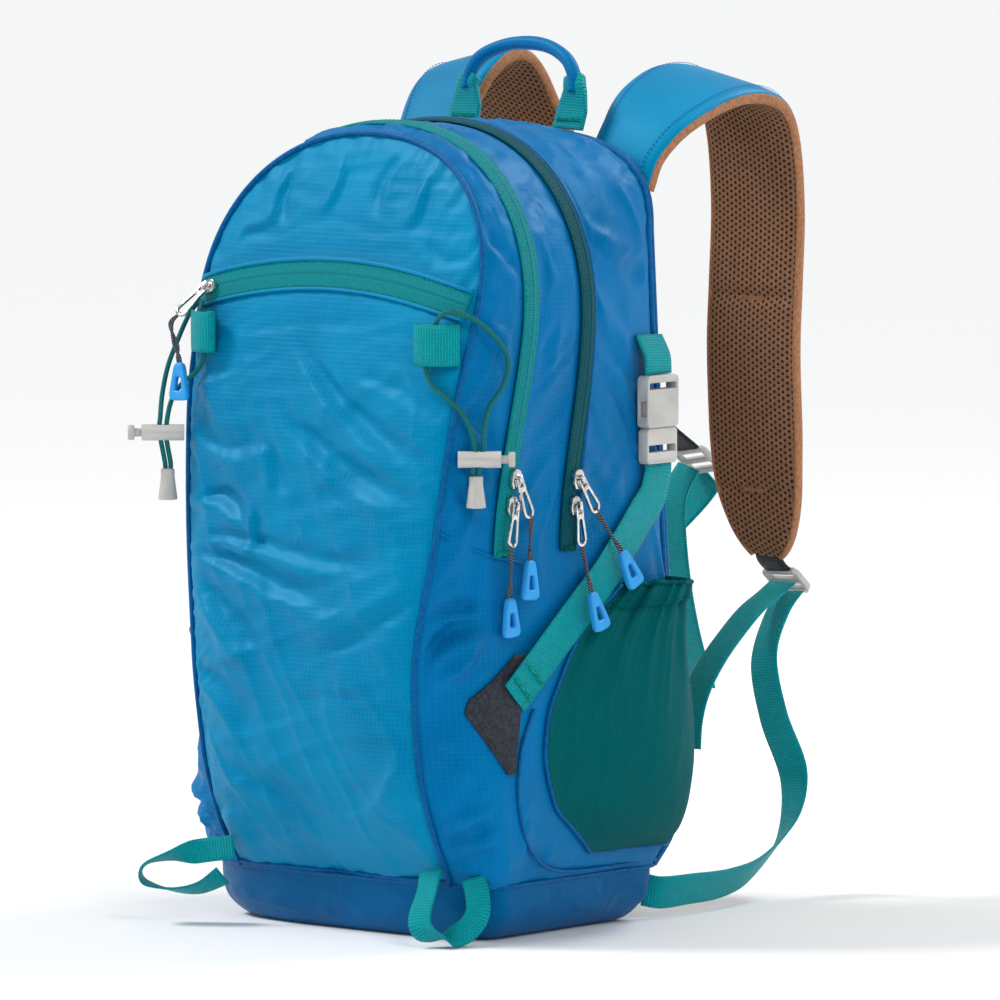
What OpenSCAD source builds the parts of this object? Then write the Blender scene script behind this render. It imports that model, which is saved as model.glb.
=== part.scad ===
// Hiking daypack, about 20 litres, standing filled on its base.
// Frame: +X to the wearer's right, on the right as the front panel is faced, -Y to the front panel,
// +Y to the back panel and shoulder straps, +Z up. Origin: centre of the flat base.

/* [Bag] */
// Height of the bag at the top of its arch
bag_h = 490; // [470:1:505]
// Height of the stiffened base tray
base_h = 34; // [30:1:38]
// Thickness of the padded back panel
back_pad_t = 8; // [6:1:10]
// Gap between neighbouring bodies of cloth
gap = 0.4; // [0.3:0.1:0.6]

/* [Webbing] */
// Thickness of all webbing
web_t = 1.6; // [1.2:0.1:1.8]
// Width of the compression webbing
strap_w = 25; // [20:1:26]
// Width of the webbing that hangs from the shoulder pads
shoulder_web_w = 20; // [18:1:22]
// Width of the gear loop webbing
loop_w = 15; // [12:1:16]

/* [Shoulder straps] */
// Width of a shoulder pad
pad_w = 70; // [60:1:72]
// Thickness of a shoulder pad
pad_t = 12; // [10:1:14]

/* [Hardware] */
// Diameter of the elastic cord
bungee_d = 3; // [2.5:0.5:3]
// Length of a zip slider
slider_l = 12; // [10:1:13]
// Length of a metal puller
puller_l = 25; // [22:1:26]
// Width of a side-release buckle
buckle_w = 30; // [28:1:32]

/* [Hidden] */

BLUE = "#0a78c8";
CYAN = "#1488c8";
NAVY = "#06528c";
TEAL = "#0a8c86";
DARK_TEAL = "#06605c";
GREY = "#b4b0ac";
NICKEL = "#c8c8c8";
MESH = "#8a6a55";
CHARCOAL = "#34383c";

// ---------- curves and solids shared by the parts ----------

function unit(v) = v / norm(v);
function along(p, i) = unit(p[min(i + 1, len(p) - 1)] - p[max(i - 1, 0)]);
function catmull(a, b, c, d, t) =
    0.5 * (2 * b + (c - a) * t + (2 * a - 5 * b + 4 * c - d) * t * t
        + (3 * b - a - 3 * c + d) * t * t * t);
// A smooth route through hand-placed points, with n steps between neighbours
function smooth(p, n) = [
    for (i = [0 : len(p) - 2]) for (k = [0 : n - 1])
        catmull(p[max(i - 1, 0)], p[i], p[i + 1], p[min(i + 2, len(p) - 1)], k / n),
    p[len(p) - 1]
];
function flip(p) = [for (q = p) [-q[0], q[1], q[2]]];
function centre(ring, i = 0, sum = [0, 0, 0]) =
    i == len(ring) ? sum / len(ring) : centre(ring, i + 1, sum + ring[i]);

// Closed solid through rings of points; each ring runs anticlockwise seen from the last ring
module loft(rings) {
    n = len(rings[0]);
    m = len(rings);
    points = [for (r = rings) each r, centre(rings[0]), centre(rings[m - 1])];
    faces = [
        for (j = [0 : m - 2]) for (i = [0 : n - 1])
            let (a = j * n + i, b = j * n + (i + 1) % n)
            each [[a, b + n, b], [a, a + n, b + n]],
        for (i = [0 : n - 1]) [m * n, i, (i + 1) % n],
        for (i = [0 : n - 1]) [m * n + 1, (m - 1) * n + (i + 1) % n, (m - 1) * n + i]
    ];
    polyhedron(points, faces);
}

// Ring across a route at point i: corners is the section, x across the band and y out of it
function section_ring(p, sides, i, corners) =
    let (t = along(p, i), s = unit(sides[i] - t * (sides[i] * t)), n = cross(t, s))
    [for (c = corners) p[i] + s * c[0] + n * c[1]];
// Flat band along a route; sides gives the direction of its width at each point
module band(p, sides, width, thick) {
    corners = [[-width, -thick], [width, -thick], [width, thick], [-width, thick]] / 2;
    loft([for (i = [0 : len(p) - 1]) section_ring(p, sides, i, corners)]);
}
// Round cord along a route
module cord(p, reference, d, faces = 8) {
    corners = [for (k = [0 : faces - 1]) [cos(360 * k / faces), sin(360 * k / faces)] * d / 2];
    sides = [for (i = [0 : len(p) - 1]) cross(along(p, i), reference)];
    loft([for (i = [0 : len(p) - 1]) section_ring(p, sides, i, corners)]);
}
function constant(v, n) = [for (i = [1 : n]) v];
function turning(a, b, n) = [for (i = [0 : n - 1]) a + (b - a) * i / (n - 1)];

// Puts a child at a point, with its +Z along dir and its +X as near to out as it can be
module at(p, dir, out) {
    z = unit(dir);
    y = unit(cross(z, out));
    x = cross(y, z);
    multmatrix([
        [x[0], y[0], z[0], p[0]],
        [x[1], y[1], z[1], p[1]],
        [x[2], y[2], z[2], p[2]],
        [0, 0, 0, 1]
    ]) children();
}
module mirrored(left) {
    if (left) mirror([1, 0, 0]) children();
    else children();
}

// ---------- shape of the bag ----------
// A station is an arched outline that leans with the zips and seams:
// [top height, height where the arch starts, roundness, y by height, half width by height]

bag_back_y = 88;
STATIONS = [
    [bag_h - 4, 385, 2.2,
        [[0, -56], [36, -70], [65, -86], [110, -101], [170, -107], [245, -100], [320, -91],
            [385, -74], [440, -58], [490, -41]],
        [[0, 70], [36, 84], [65, 86], [110, 86], [170, 88], [245, 98], [320, 105], [385, 110]]],
    [bag_h, 370, 2.2,
        [[0, -36], [60, -58], [230, -62], [370, -38], [490, -24]],
        [[0, 100], [34, 114], [50, 121], [80, 122], [120, 120], [200, 116], [230, 115], [370, 118]]],
    [bag_h, 365, 2.2,
        [[0, 2], [60, -8], [230, -10], [365, 13], [490, 22]],
        [[0, 96], [34, 115], [60, 124], [120, 128], [200, 126], [250, 123], [365, 121]]],
    [bag_h + 1, 385, 2.4,
        [[0, 48], [490, 50]],
        [[0, 92], [34, 116], [60, 130], [110, 138], [200, 130], [300, 123], [385, 119]]],
    [bag_h - 2, 415, 2.6,
        [[0, 78], [490, 78]],
        [[0, 90], [34, 118], [60, 134], [110, 141], [200, 130], [300, 122], [415, 114]]],
    [bag_h - 7, 425, 2.8,
        [[0, bag_back_y], [490, bag_back_y]],
        [[0, 84], [34, 112], [60, 128], [110, 134], [200, 123], [300, 116], [425, 109]]]
];
FRONT = STATIONS[0];
FRONT_ZIP = STATIONS[1];
MAIN_ZIP = STATIONS[2];
BACK = STATIONS[5];
body_floor = base_h + gap;
SIDE_HEIGHTS = [320, 270, 230, 190, 150, 110, 75, 50, body_floor];
arch_steps = 7;

function deep(s, z) = lookup(z, s[3]);
function half_width(s, z) =
    z <= s[1] ? lookup(z, s[4])
    : lookup(s[1], s[4]) * pow(max(0, 1 - pow((z - s[1]) / (s[0] - s[1]), s[2])), 1 / s[2]);
function arch_point(s, a) =
    let (x = lookup(s[1], s[4]) * pow(cos(a), 2 / s[2]),
         z = s[1] + (s[0] - s[1]) * pow(sin(a), 2 / s[2]))
    [x, deep(s, z), z];
// Right half of an outline, from the top of the arch down to the lowest of the given heights
function half_outline(s, heights) = concat(
    [for (k = [0 : arch_steps]) arch_point(s, 90 - 90 * k / arch_steps)],
    [for (z = heights) [half_width(s, z), deep(s, z), z]]
);
function outline(s, heights = SIDE_HEIGHTS) =
    let (right = half_outline(s, heights), n = len(right))
    concat(right, [for (i = [n - 1 : -1 : 1]) [-right[i][0], right[i][1], right[i][2]]]);
function shift_y(ring, dy) = [for (p = ring) p + [0, dy, 0]];
// Half width of the whole bag at a depth and a height
function side_x(y, z) = lookup(y, [for (s = STATIONS) [deep(s, z), half_width(s, z)]]);
// Point standing off the bag's right side
function on_side(y, z, off) = [side_x(y, z) + off, y, z];
// An outline drawn in towards its middle and moved along Y
panel_mid_z = 240;
function drawn_in(ring, keep, dy) =
    [for (p = ring) [p[0] * keep, p[1] + dy, panel_mid_z + (p[2] - panel_mid_z) * keep]];
// The same for the front panel, which keeps its own lean as it swells
function swollen(keep, dy) =
    [for (p = drawn_in(outline(FRONT), keep, 0)) [p[0], deep(FRONT, p[2]) + dy, p[2]]];

module main_compartment() {
    color(BLUE)
        loft([
            shift_y(outline(MAIN_ZIP), gap), outline(STATIONS[3]), outline(STATIONS[4]),
            outline(BACK)
        ]);
}

module front_compartment() {
    color(BLUE)
        loft([outline(FRONT), outline(FRONT_ZIP), outline(MAIN_ZIP)]);
}

module front_pocket() {
    color(CYAN)
        loft([
            swollen(0.5, -11.5), swollen(0.8, -9), swollen(0.95, -5), swollen(1, -gap)
        ]);
}

// Level outline of the bag at a height, anticlockwise from above
function level(z, keep, out_z) =
    let (front_y = deep(FRONT, z), front_w = half_width(FRONT, z),
         right = concat(
            [[0, front_y - 5], [front_w * 0.6, front_y - 4]],
            [for (s = STATIONS) [half_width(s, z), deep(s, z)]]),
         n = len(right),
         ring = concat(right, [for (i = [n - 1 : -1 : 1]) [-right[i][0], right[i][1]]]))
    [for (p = ring) [p[0] * keep, p[1] * keep, out_z]];

foot_h = 2;
module base_panel() {
    color(NAVY)
        loft([
            level(base_h, 0.78, 0), level(base_h, 0.8, foot_h), level(base_h, 0.91, base_h * 0.2),
            level(base_h, 0.97, base_h * 0.5), level(base_h, 1, base_h)
        ]);
}

frame_t = 1.6;
frame_y = bag_back_y + gap;
back_pad_y = frame_y + frame_t + gap;
module frame_sheet() {
    sheet = outline(BACK);
    color(CHARCOAL)
        loft([
            drawn_in(sheet, 0.9, gap), drawn_in(sheet, 0.9, gap + frame_t)
        ]);
}

module back_panel() {
    edge = shift_y(outline(BACK), back_pad_y - bag_back_y);
    color(NAVY)
        loft([edge, shift_y(edge, back_pad_t * 0.5), drawn_in(edge, 0.95, back_pad_t)]);
}

// ---------- stretch side pockets ----------

pocket_floor = 50;
pocket_top = 212;
pocket_back_y = 86;
pocket_wall = 1.6;
pocket_off = 1.1;
pocket_bulge = 23;
pocket_rows = 9;
pocket_cols = 10;
function pocket_front_y(z) =
    lookup(z, [[50, 14], [66, -4], [83, -22], [115, -31], [137, -28], [158, -18], [182, -3], [193, 9], [212, 38]]);
function pocket_swell(u, z) =
    pocket_bulge * pow(sin(180 * pow(u, 1.8)), 0.55)
    * lookup(z, [[50, 0.02], [62, 0.5], [80, 0.8], [110, 0.9], [212, 1]]);
function pocket_point(u, z, inset) =
    let (y = pocket_front_y(z) + (pocket_back_y - pocket_front_y(z)) * u)
    on_side(y, z, pocket_off + max(pocket_swell(u, z), pocket_wall) - inset);
// Closed thin wall between an outer and an inner grid of points
module wall_between(a, b) {
    r = len(a);
    c = len(a[0]);
    n = r * c;
    points = [for (row = a) each row, for (row = b) each row];
    edge = concat(
        [for (i = [0 : c - 2]) [i, i + 1]],
        [for (j = [0 : r - 2]) [j * c + c - 1, (j + 1) * c + c - 1]],
        [for (i = [c - 1 : -1 : 1]) [(r - 1) * c + i, (r - 1) * c + i - 1]],
        [for (j = [r - 1 : -1 : 1]) [j * c, (j - 1) * c]]
    );
    faces = [
        for (j = [0 : r - 2]) for (i = [0 : c - 2])
            let (k = j * c + i)
            each [
                [k, k + c, k + c + 1], [k, k + c + 1, k + 1],
                [n + k, n + k + c + 1, n + k + c], [n + k, n + k + 1, n + k + c + 1]
            ],
        for (e = edge) each [[e[0], e[1], n + e[1]], [e[0], n + e[1], n + e[0]]]
    ];
    polyhedron(points, faces);
}
module side_pocket(left) {
    function grid(inset) = [
        for (j = [0 : pocket_rows])
            let (v = j / pocket_rows, z = pocket_floor + (pocket_top - pocket_floor) * pow(v, 1.4))
            [for (i = [0 : pocket_cols]) pocket_point(i / pocket_cols, z, inset)]
    ];
    color(DARK_TEAL) mirrored(left) wall_between(grid(0), grid(pocket_wall));
}

// ---------- zips ----------

zip_t = 1.2;
zip_off = 2.1;
zip_w = 14;
// Outline of a zip that stands off the bag, from its right end over the top to its left end
function zip_route(s, end_z) =
    let (heights = [for (z = [320, 290, 260, end_z]) z],
         right = half_outline(s, heights), n = len(right),
         half = [for (i = [n - 1 : -1 : 0])
            right[i] + zip_off * unit([right[i][0], 0, max(0, right[i][2] - s[1]) * 1.4])])
    concat(half, flip([for (i = [n - 2 : -1 : 0]) half[i]]));
module arched_zip(s, end_z, tint) {
    route = zip_route(s, end_z);
    color(tint) band(route, constant([0, 1, 0.1], len(route)), zip_w, zip_t);
}
front_zip_end_z = 234;
main_zip_end_z = 234;
module front_zip_tape() { arched_zip(FRONT_ZIP, front_zip_end_z, TEAL); }
module main_zip_tape() {
    arched_zip([for (i = [0 : 4]) i == 3 ? [for (q = MAIN_ZIP[3]) q + [0, 1]] : MAIN_ZIP[i]],
        main_zip_end_z, DARK_TEAL);
}

// Zip of the front pocket: an arc of a circle whose plane leans back from the panel
pocket_zip_w = 18;
pocket_zip_mid = [0, -84, 402];
pocket_zip_sag = [0, 2.2, -15];
pocket_zip_half = 105;
pocket_zip_r =
    (pow(pocket_zip_half, 2) + pow(norm(pocket_zip_sag), 2)) / (2 * norm(pocket_zip_sag));
pocket_zip_end_a = asin(pocket_zip_half / pocket_zip_r);
function pocket_zip_point(a) =
    pocket_zip_mid + pocket_zip_r * ([sin(a), 0, 0] + (1 - cos(a)) * unit(pocket_zip_sag));
module pocket_zip_tape() {
    route = [for (k = [-8 : 8]) pocket_zip_point(pocket_zip_end_a * k / 8)];
    color(TEAL) band(route, constant([0, 0.32, 1], len(route)), pocket_zip_w, zip_t);
}

// A slider lies on its tape: local +Z runs down the tape and +X faces out
slider_w = 8;
slider_t = 3;
pin_rise = 1.5;
module slider_plate() {
    translate([0, 0, -slider_l / 2])
        rotate([90, 0, 90])
        linear_extrude(slider_t)
        polygon([
            [-slider_w / 2, 2], [-slider_w / 2, slider_l - 3], [-slider_w / 2 + 2, slider_l],
            [slider_w / 2 - 2, slider_l], [slider_w / 2, slider_l - 3], [slider_w / 2, 2],
            [slider_w / 2 - 2, 0], [-slider_w / 2 + 2, 0]
        ]);
}
// Arched bridge on the slider that holds the puller's bar; local origin on that bar
bridge_w = 2.4;
module slider_bridge() {
    foot_x = -pin_rise - 1.4;
    translate([0, bridge_w / 2, 0]) rotate([90, 0, 0]) linear_extrude(bridge_w) polygon([
        [foot_x, -2.8], [1.8, -2.8], [2.6, -2], [2.6, 2], [1.8, 2.8], [foot_x, 2.8],
        [foot_x, 1.5], [1.4, 1.5], [1.4, -1.5], [foot_x, -1.5]
    ]);
}
puller_w = 9;
puller_t = 1.6;
// Long metal ring that hangs from the slider's bridge; local origin on its top bar
module puller_ring() {
    color(NICKEL)
        rotate([90, 0, 90])
        translate([0, 0, -puller_t / 2])
        linear_extrude(puller_t)
        difference() {
            union() {
                translate([-3.2, -0.8]) square([6.4, 8]);
                hull() {
                    translate([0, 8.4]) circle(r = 3.2, $fn = 32);
                    translate([0, puller_l - puller_w / 2]) circle(r = puller_w / 2, $fn = 32);
                }
            }
            translate([-1.7, 0.8]) square([3.4, 4.2]);
            hull() {
                translate([0, 9.4]) circle(r = 1.6, $fn = 32);
                translate([0, puller_l - puller_w / 2]) circle(r = puller_w / 2 - 1.8, $fn = 32);
            }
        }
}
grip_l = 24;
module grip_shape() {
    color("#2090e0")
        rotate([90, 0, 90])
        translate([0, 0, -2])
        linear_extrude(4)
        difference() {
            polygon([
                [-3.5, 0], [-5, grip_l * 0.45], [-8, grip_l - 2], [-6.5, grip_l], [6.5, grip_l],
                [8, grip_l - 2], [5, grip_l * 0.45], [3.5, 0]
            ]);
            translate([-2.5, grip_l * 0.58]) square([5, 4]);
        }
}

// Each pull: [slider height on its zip, puller end, grip top, grip end]
function zip_slider_at(s, z) = [half_width(s, z) + zip_off + zip_t / 2 + 0.3, deep(s, z), z];
FRONT_UPPER = [zip_slider_at(FRONT_ZIP, 282), [126, -45, 257], [127, -47, 233], [128, -48, 209]];
FRONT_LOWER = [
    zip_slider_at(FRONT_ZIP, 266), [124, -61, 240], [122.5, -60.5, 211], [122.5, -59, 187]
];
MAIN_UPPER = [zip_slider_at(MAIN_ZIP, 279), [131, 15, 255], [139, 26, 234], [143, 36, 212]];
MAIN_LOWER = [zip_slider_at(MAIN_ZIP, 263), [130, -1, 238], [139, -3, 211], [143, 3, 188]];
pocket_slider_a = -15;
POCKET_PULL = [
    pocket_zip_point(pocket_slider_a) + [0, -1.4, 0.4], [-112, -103.5, 368], [-100, -107.5, 345],
    [-98.5, -110, 322]
];
PANEL_OUT = [0, -1, 0.32];
function on_panel(pull) = pull[0][1] < -75;
function pull_out(pull) = on_panel(pull) ? PANEL_OUT : [1, 0, 0];
function pull_run(pull) =
    on_panel(pull) ? pocket_zip_point(pocket_slider_a - 1) - pocket_zip_point(pocket_slider_a)
    : [0, -0.17, -1];
function pin_at(pull) = pull[0] + unit(pull_out(pull)) * (slider_t + pin_rise);
function ring_end(pull) = pin_at(pull) + unit(pull[1] - pin_at(pull)) * puller_l;
module slider_of(pull) {
    pin = pin_at(pull);
    color(NICKEL) {
        at(pull[0], pull_run(pull), pull_out(pull)) slider_plate();
        at(pin, pull[1] - pin, pull_out(pull)) slider_bridge();
    }
}
module puller_of(pull) {
    pin = pin_at(pull);
    at(pin, pull[1] - pin, pull_out(pull)) puller_ring();
}
module grip_of(pull) {
    run = unit(pull[2] - ring_end(pull));
    loop_end = ring_end(pull) + run * 0.8;
    at(pull[2], pull[3] - pull[2], pull_out(pull)) grip_shape();
    color(CHARCOAL)
        cord([loop_end, (loop_end + pull[2]) / 2, pull[2] + run * 0.5], [0, 1, 0.01], 2.6);
}
module front_slider_upper() { slider_of(FRONT_UPPER); }
module front_slider_lower() { slider_of(FRONT_LOWER); }
module main_slider_upper() { slider_of(MAIN_UPPER); }
module main_slider_lower() { slider_of(MAIN_LOWER); }
module pocket_slider() { slider_of(POCKET_PULL); }
module front_puller_upper() { puller_of(FRONT_UPPER); }
module front_puller_lower() { puller_of(FRONT_LOWER); }
module main_puller_upper() { puller_of(MAIN_UPPER); }
module main_puller_lower() { puller_of(MAIN_LOWER); }
module pocket_puller() { puller_of(POCKET_PULL); }
module front_grip_upper() { grip_of(FRONT_UPPER); }
module front_grip_lower() { grip_of(FRONT_LOWER); }
module main_grip_upper() { grip_of(MAIN_UPPER); }
module main_grip_lower() { grip_of(MAIN_LOWER); }
module pocket_grip() { grip_of(POCKET_PULL); }

// ---------- compression straps and side-release buckles ----------

buckle_y = 74;
buckle_z = 306;
buckle_t = 9;
socket_l = 32;
plug_l = 22;
wall = 2;
slot_w = strap_w + 1;
function buckle_at() = on_side(buckle_y, buckle_z, 2.5);
// Flat plate in local Y and Z with bevelled corners, thick along local X
module bevelled(width, z0, z1, thick, cut) {
    rotate([90, 0, 90])
        linear_extrude(thick)
        polygon([
            [-width / 2 + cut, z0], [width / 2 - cut, z0], [width / 2, z0 + cut],
            [width / 2, z1 - cut], [width / 2 - cut, z1], [-width / 2 + cut, z1],
            [-width / 2, z1 - cut], [-width / 2, z0 + cut]
        ]);
}
module buckle_socket(left) {
    color(GREY) mirrored(left) translate(buckle_at()) difference() {
        bevelled(buckle_w, 0, socket_l, buckle_t, 2);
        translate([wall, -buckle_w / 2 + wall, -1])
            cube([buckle_t - 2 * wall, buckle_w - 2 * wall, 21]);
        for (side = [-1, 1])
            translate([wall, side * buckle_w / 2 - 2.5, 7])
            cube([buckle_t - 2 * wall, 5, 9]);
        translate([-1, -slot_w / 2, 23.5]) cube([buckle_t + 2, slot_w, 4]);
    }
}
module buckle_plug(left) {
    prong_t = buckle_t - 2 * wall - 0.8;
    color(GREY) mirrored(left) translate(buckle_at()) {
        difference() {
            translate([1, 0, 0]) bevelled(buckle_w - 1, -plug_l, -gap, buckle_t - 2, 2);
            translate([0, -slot_w / 2, -15]) cube([buckle_t + 2, slot_w, 4.5]);
        }
        translate([wall + 0.4, -2, -gap]) cube([prong_t, 4, 15]);
        for (side = [-1, 1])
            translate([wall + 0.4, side * 10.2 - 2, -gap]) cube([prong_t, 4, 16]);
    }
}
module buckle_web(left) {
    top = buckle_at() + [buckle_t / 2, 0, socket_l + gap];
    route = smooth([top, top + [0, 0, 4], top + [-1.5, 0.5, 12], on_side(buckle_y + 1, 362, 2.4)], 3);
    color(TEAL) mirrored(left) band(route, constant([0, 1, 0], len(route)), strap_w, web_t);
}
// The strap runs from the side patch up and back across the bag's side to the plug
STRAP_LINE = [
    [-58, 150, 5], [-39, 169, 5.2], [-20, 187, 5], [-2, 202, 4.4], [19, 218, 3.4], [40, 237, 3],
    [56, 252, 3], [68, 264, 4]
];
module compression_strap(left) {
    last = buckle_at() + [buckle_t / 2, 0, -plug_l - gap];
    line = [for (q = STRAP_LINE) on_side(q[0], q[1], q[2])];
    route = concat(smooth(concat(line, [last - [0, 0, 5]]), 2), [last - [0, 0, 2], last]);
    sides = [for (i = [0 : len(route) - 1]) cross([1, 0, 0], along(route, i))];
    color(TEAL) mirrored(left) band(route, sides, strap_w, web_t);
}
patch_low = 104;
patch_high = 176;
// Stiff triangular patch that spreads the pull of the strap's lower end
module anchor_patches() {
    function grid(off) = [
        for (j = [0 : 6])
            let (z = patch_low + (patch_high - patch_low) * j / 6,
                 y0 = lookup(z, [[104, -62], [142, -84], [150, -82], [176, -54]]),
                 y1 = lookup(z, [[104, -57], [176, -47]]))
            [for (i = [0 : 6]) on_side(y0 + (y1 - y0) * i / 6, z, off)]
    ];
    color(CHARCOAL)
        for (left = [false, true]) mirrored(left) wall_between(grid(2.6), grid(1.6));
}

// ---------- haul handle ----------

handle_d = 8.5;
tab_w = 24;
HANDLE = [[43, 99, 507], [41.5, 100, 517], [34, 102, 527], [18, 105, 534], [0, 106, 536]];
module handle_grip() {
    route = smooth(concat(HANDLE, [for (i = [3 : -1 : 0]) flip([HANDLE[i]])[0]]), 2);
    color(BLUE) cord(route, [0, 1, 0.2], handle_d, 10);
}
module handle_tabs() {
    route = smooth([[42, 93, 484.5], [42.5, 96.5, 495], [43, 98.8, 506]], 2);
    color(TEAL)
        for (left = [false, true]) mirrored(left)
            band(route, constant([1, 0, 0], len(route)), tab_w, 3);
}

// ---------- shoulder straps ----------

// Centre lines of the pads, from the sewn root over the shoulder to the lower end
PAD_RIGHT = [
    [82, 105, 450], [82, 108, 470], [83, 118, 487], [84, 140, 501], [85, 168, 510],
    [86, 196, 509], [86, 214, 497], [86, 224, 472], [86, 228, 430], [86, 226, 385],
    [86, 224, 345], [86, 226, 300], [86, 229, 262], [85, 236, 232], [84, 242, 213]
];
PAD_LEFT = [
    [-82, 105, 450], [-82, 109, 470], [-82, 118, 490], [-82, 132, 508], [-81, 148, 518],
    [-80, 163, 518], [-79, 177, 508], [-78, 190, 490], [-76, 205, 466], [-73, 220, 436],
    [-70, 234, 402], [-66, 247, 366], [-62, 260, 336], [-57, 276, 310], [-52, 292, 291]
];
// Width of a pad along it, as a share of its full width
PAD_TAPER = [[0, 0.74], [1, 0.76], [3, 0.94], [4, 1], [11, 1], [12, 0.94], [13, 0.72], [14, 0.34]];
// How far the outer edge drops below the inner one as the pad crosses the shoulder
PAD_ROLL = [[0, 0], [1, 0.06], [3, 0.24], [5, 0.22], [7, 0.05], [14, 0]];
module strap_pad(points, left) {
    steps = 2;
    route = smooth(points, steps);
    rings = [for (i = [0 : len(route) - 1])
        let (k = i / steps, w = pad_w * lookup(k, PAD_TAPER) / 2, t = pad_t / 2,
             side = [1, 0, (left ? 1 : -1) * lookup(k, PAD_ROLL)],
             corners = [[-w, 0], [-w + 4, -t], [w - 4, -t], [w, 0], [w - 4, t], [-w + 4, t]])
        section_ring(route, constant(side, len(route)), i, corners)];
    color(MESH) loft(rings);
}

// Ladder lock at the end of a pad: local origin on its upper bar, +Z down the webbing
lock_w = 28;
lock_l = 22;
lock_t = 4;
LOCK_RIGHT = [85, 250, 203];
LOCK_LEFT = [-40, 316, 268];
RUN_RIGHT = [0.05, 0.75, -0.65];
RUN_LEFT = [0.2, 0.7, -0.68];
module ladder_lock(p, run) {
    color(GREY) at(p, run, [0, -1, -0.8]) rotate([90, 0, 90]) translate([0, 0, -lock_t / 2])
        linear_extrude(lock_t) difference() {
            polygon([
                [-lock_w / 2 + 2, 0], [lock_w / 2 - 2, 0], [lock_w / 2, 3],
                [lock_w / 2, lock_l - 4], [lock_w / 2 - 3, lock_l], [-lock_w / 2 + 3, lock_l],
                [-lock_w / 2, lock_l - 4], [-lock_w / 2, 3]
            ]);
            for (y = [3.5, 12.5])
                translate([-shoulder_web_w / 2 - 1, y]) square([shoulder_web_w + 2, 5.5]);
        }
}
// Short webbing from the end of a pad to its ladder lock
module strap_tab(points, lock, run) {
    last = points[len(points) - 1];
    end_dir = along(points, len(points) - 1);
    start = last + end_dir * 2;
    stop = lock - unit(run) * 2;
    route = [start, (start + stop) / 2 + end_dir * 0.5, stop];
    color(CHARCOAL) band(route, constant([1, 0, 0], 3), shoulder_web_w, 3);
}
// Webbing sewn into the rear bottom corner; it hangs in a bow up to the ladder lock
ANCHOR_RIGHT = [
    [106, 89.5, 18], [113, 98, 16], [116, 123, 16], [115, 160, 16], [112, 194, 22],
    [106, 232, 42], [101, 246, 74], [96, 232, 112], [92, 227, 148], [88, 244, 174],
    [86.5, 261, 188]
];
ANCHOR_LEFT = [
    [-106, 89.5, 18], [-113, 98, 16], [-116, 122, 16], [-115, 156, 24], [-111, 188, 46],
    [-104, 220, 78], [-96, 252, 116], [-86, 286, 158], [-72, 316, 200], [-52, 334, 230],
    [-36, 335, 249]
];
module anchor_web(points) {
    steps = 2;
    route = smooth(points, steps);
    n = len(route);
    sides = turning([0, 0.2, 1], [points[0][0] > 0 ? 1 : -1, 0, 0.1], n);
    color(TEAL) band(route, [for (i = [0 : n - 1]) i < 6 ? [0, 0.2, 1] : sides[i]],
        shoulder_web_w, web_t);
}
TAIL_RIGHT = [
    [86, 253.5, 194.5], [86, 240, 188], [86, 222, 180], [86, 204, 168], [86, 184, 152],
    [86, 168, 134], [86, 160, 116], [86, 158, 98]
];
TAIL_LEFT = [
    [-42, 320, 256], [-45, 314, 246], [-46, 309, 234], [-46, 309, 218], [-46, 312, 195],
    [-46, 318, 168], [-46, 327, 141], [-46, 340, 112]
];
module web_tail(points) {
    route = smooth(points, 2);
    color(TEAL) band(route, constant([1, 0, 0], len(route)), shoulder_web_w, web_t);
}

// ---------- gear loops at the bottom of the front ----------

GEAR_RIGHT = [
    [81, -85, 45], [84.5, -93, 34], [87, -103, 18], [91, -102, 9.4], [98, -92, 6],
    [106, -82, 10.4], [110, -76, 20], [107, -73, 33], [103, -72, 41]
];
GEAR_RIGHT_SIDES = [
    [0.9, 0.3, 0.2], [0.95, 0.1, 0.2], [0.95, 0.2, 0], [0.9, 0.4, 0], [0.8, 0.6, 0],
    [0.7, 0.7, 0], [0.6, 0.8, 0], [0.6, 0.8, 0.1], [0.6, 0.8, 0.2]
];
GEAR_LEFT = [
    [-70, -92, 48], [-84, -104, 46], [-102, -117, 42], [-116, -124, 36], [-118, -122, 26],
    [-104, -112, 21], [-90, -102, 22], [-78, -94, 30]
];
GEAR_LEFT_SIDES = [
    [0.2, 0.5, 0.8], [0.3, 0.4, 0.8], [0.5, -0.6, 0.4], [0.6, -0.8, 0.1], [0.6, -0.8, -0.1],
    [0.6, -0.7, 0.2], [0.5, -0.5, 0.5], [0.3, -0.3, 0.8]
];
module gear_loop(points, sides) {
    route = smooth(points, 2);
    turned = smooth(sides, 2);
    color(TEAL) band(route, turned, loop_w, web_t);
}

// ---------- bungee keepers, cords, locks and ends ----------

keeper_z = 364;
KEEPER = [
    [106, -88, keeper_z], [100, -96, keeper_z], [92, -101, keeper_z], [85, -102.5, keeper_z],
    [80.5, -99, keeper_z], [83.5, -95, keeper_z], [91, -93.5, keeper_z], [99, -90.5, keeper_z]
];
module bungee_keeper(left) {
    route = smooth(KEEPER, 2);
    color(TEAL) mirrored(left) band(route, constant([0, 0, 1], len(route)), strap_w, web_t);
}
lock_axis_right = [0.766, 0.643, 0];
lock_axis_left = [-0.766, -0.643, 0];
LOCK_MID_RIGHT = [119, -85, 296];
LOCK_MID_LEFT = [-110, -112, 302];
BELL_RIGHT = [118, -87, 286];
BELL_LEFT = [-107, -111, 280];
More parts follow.
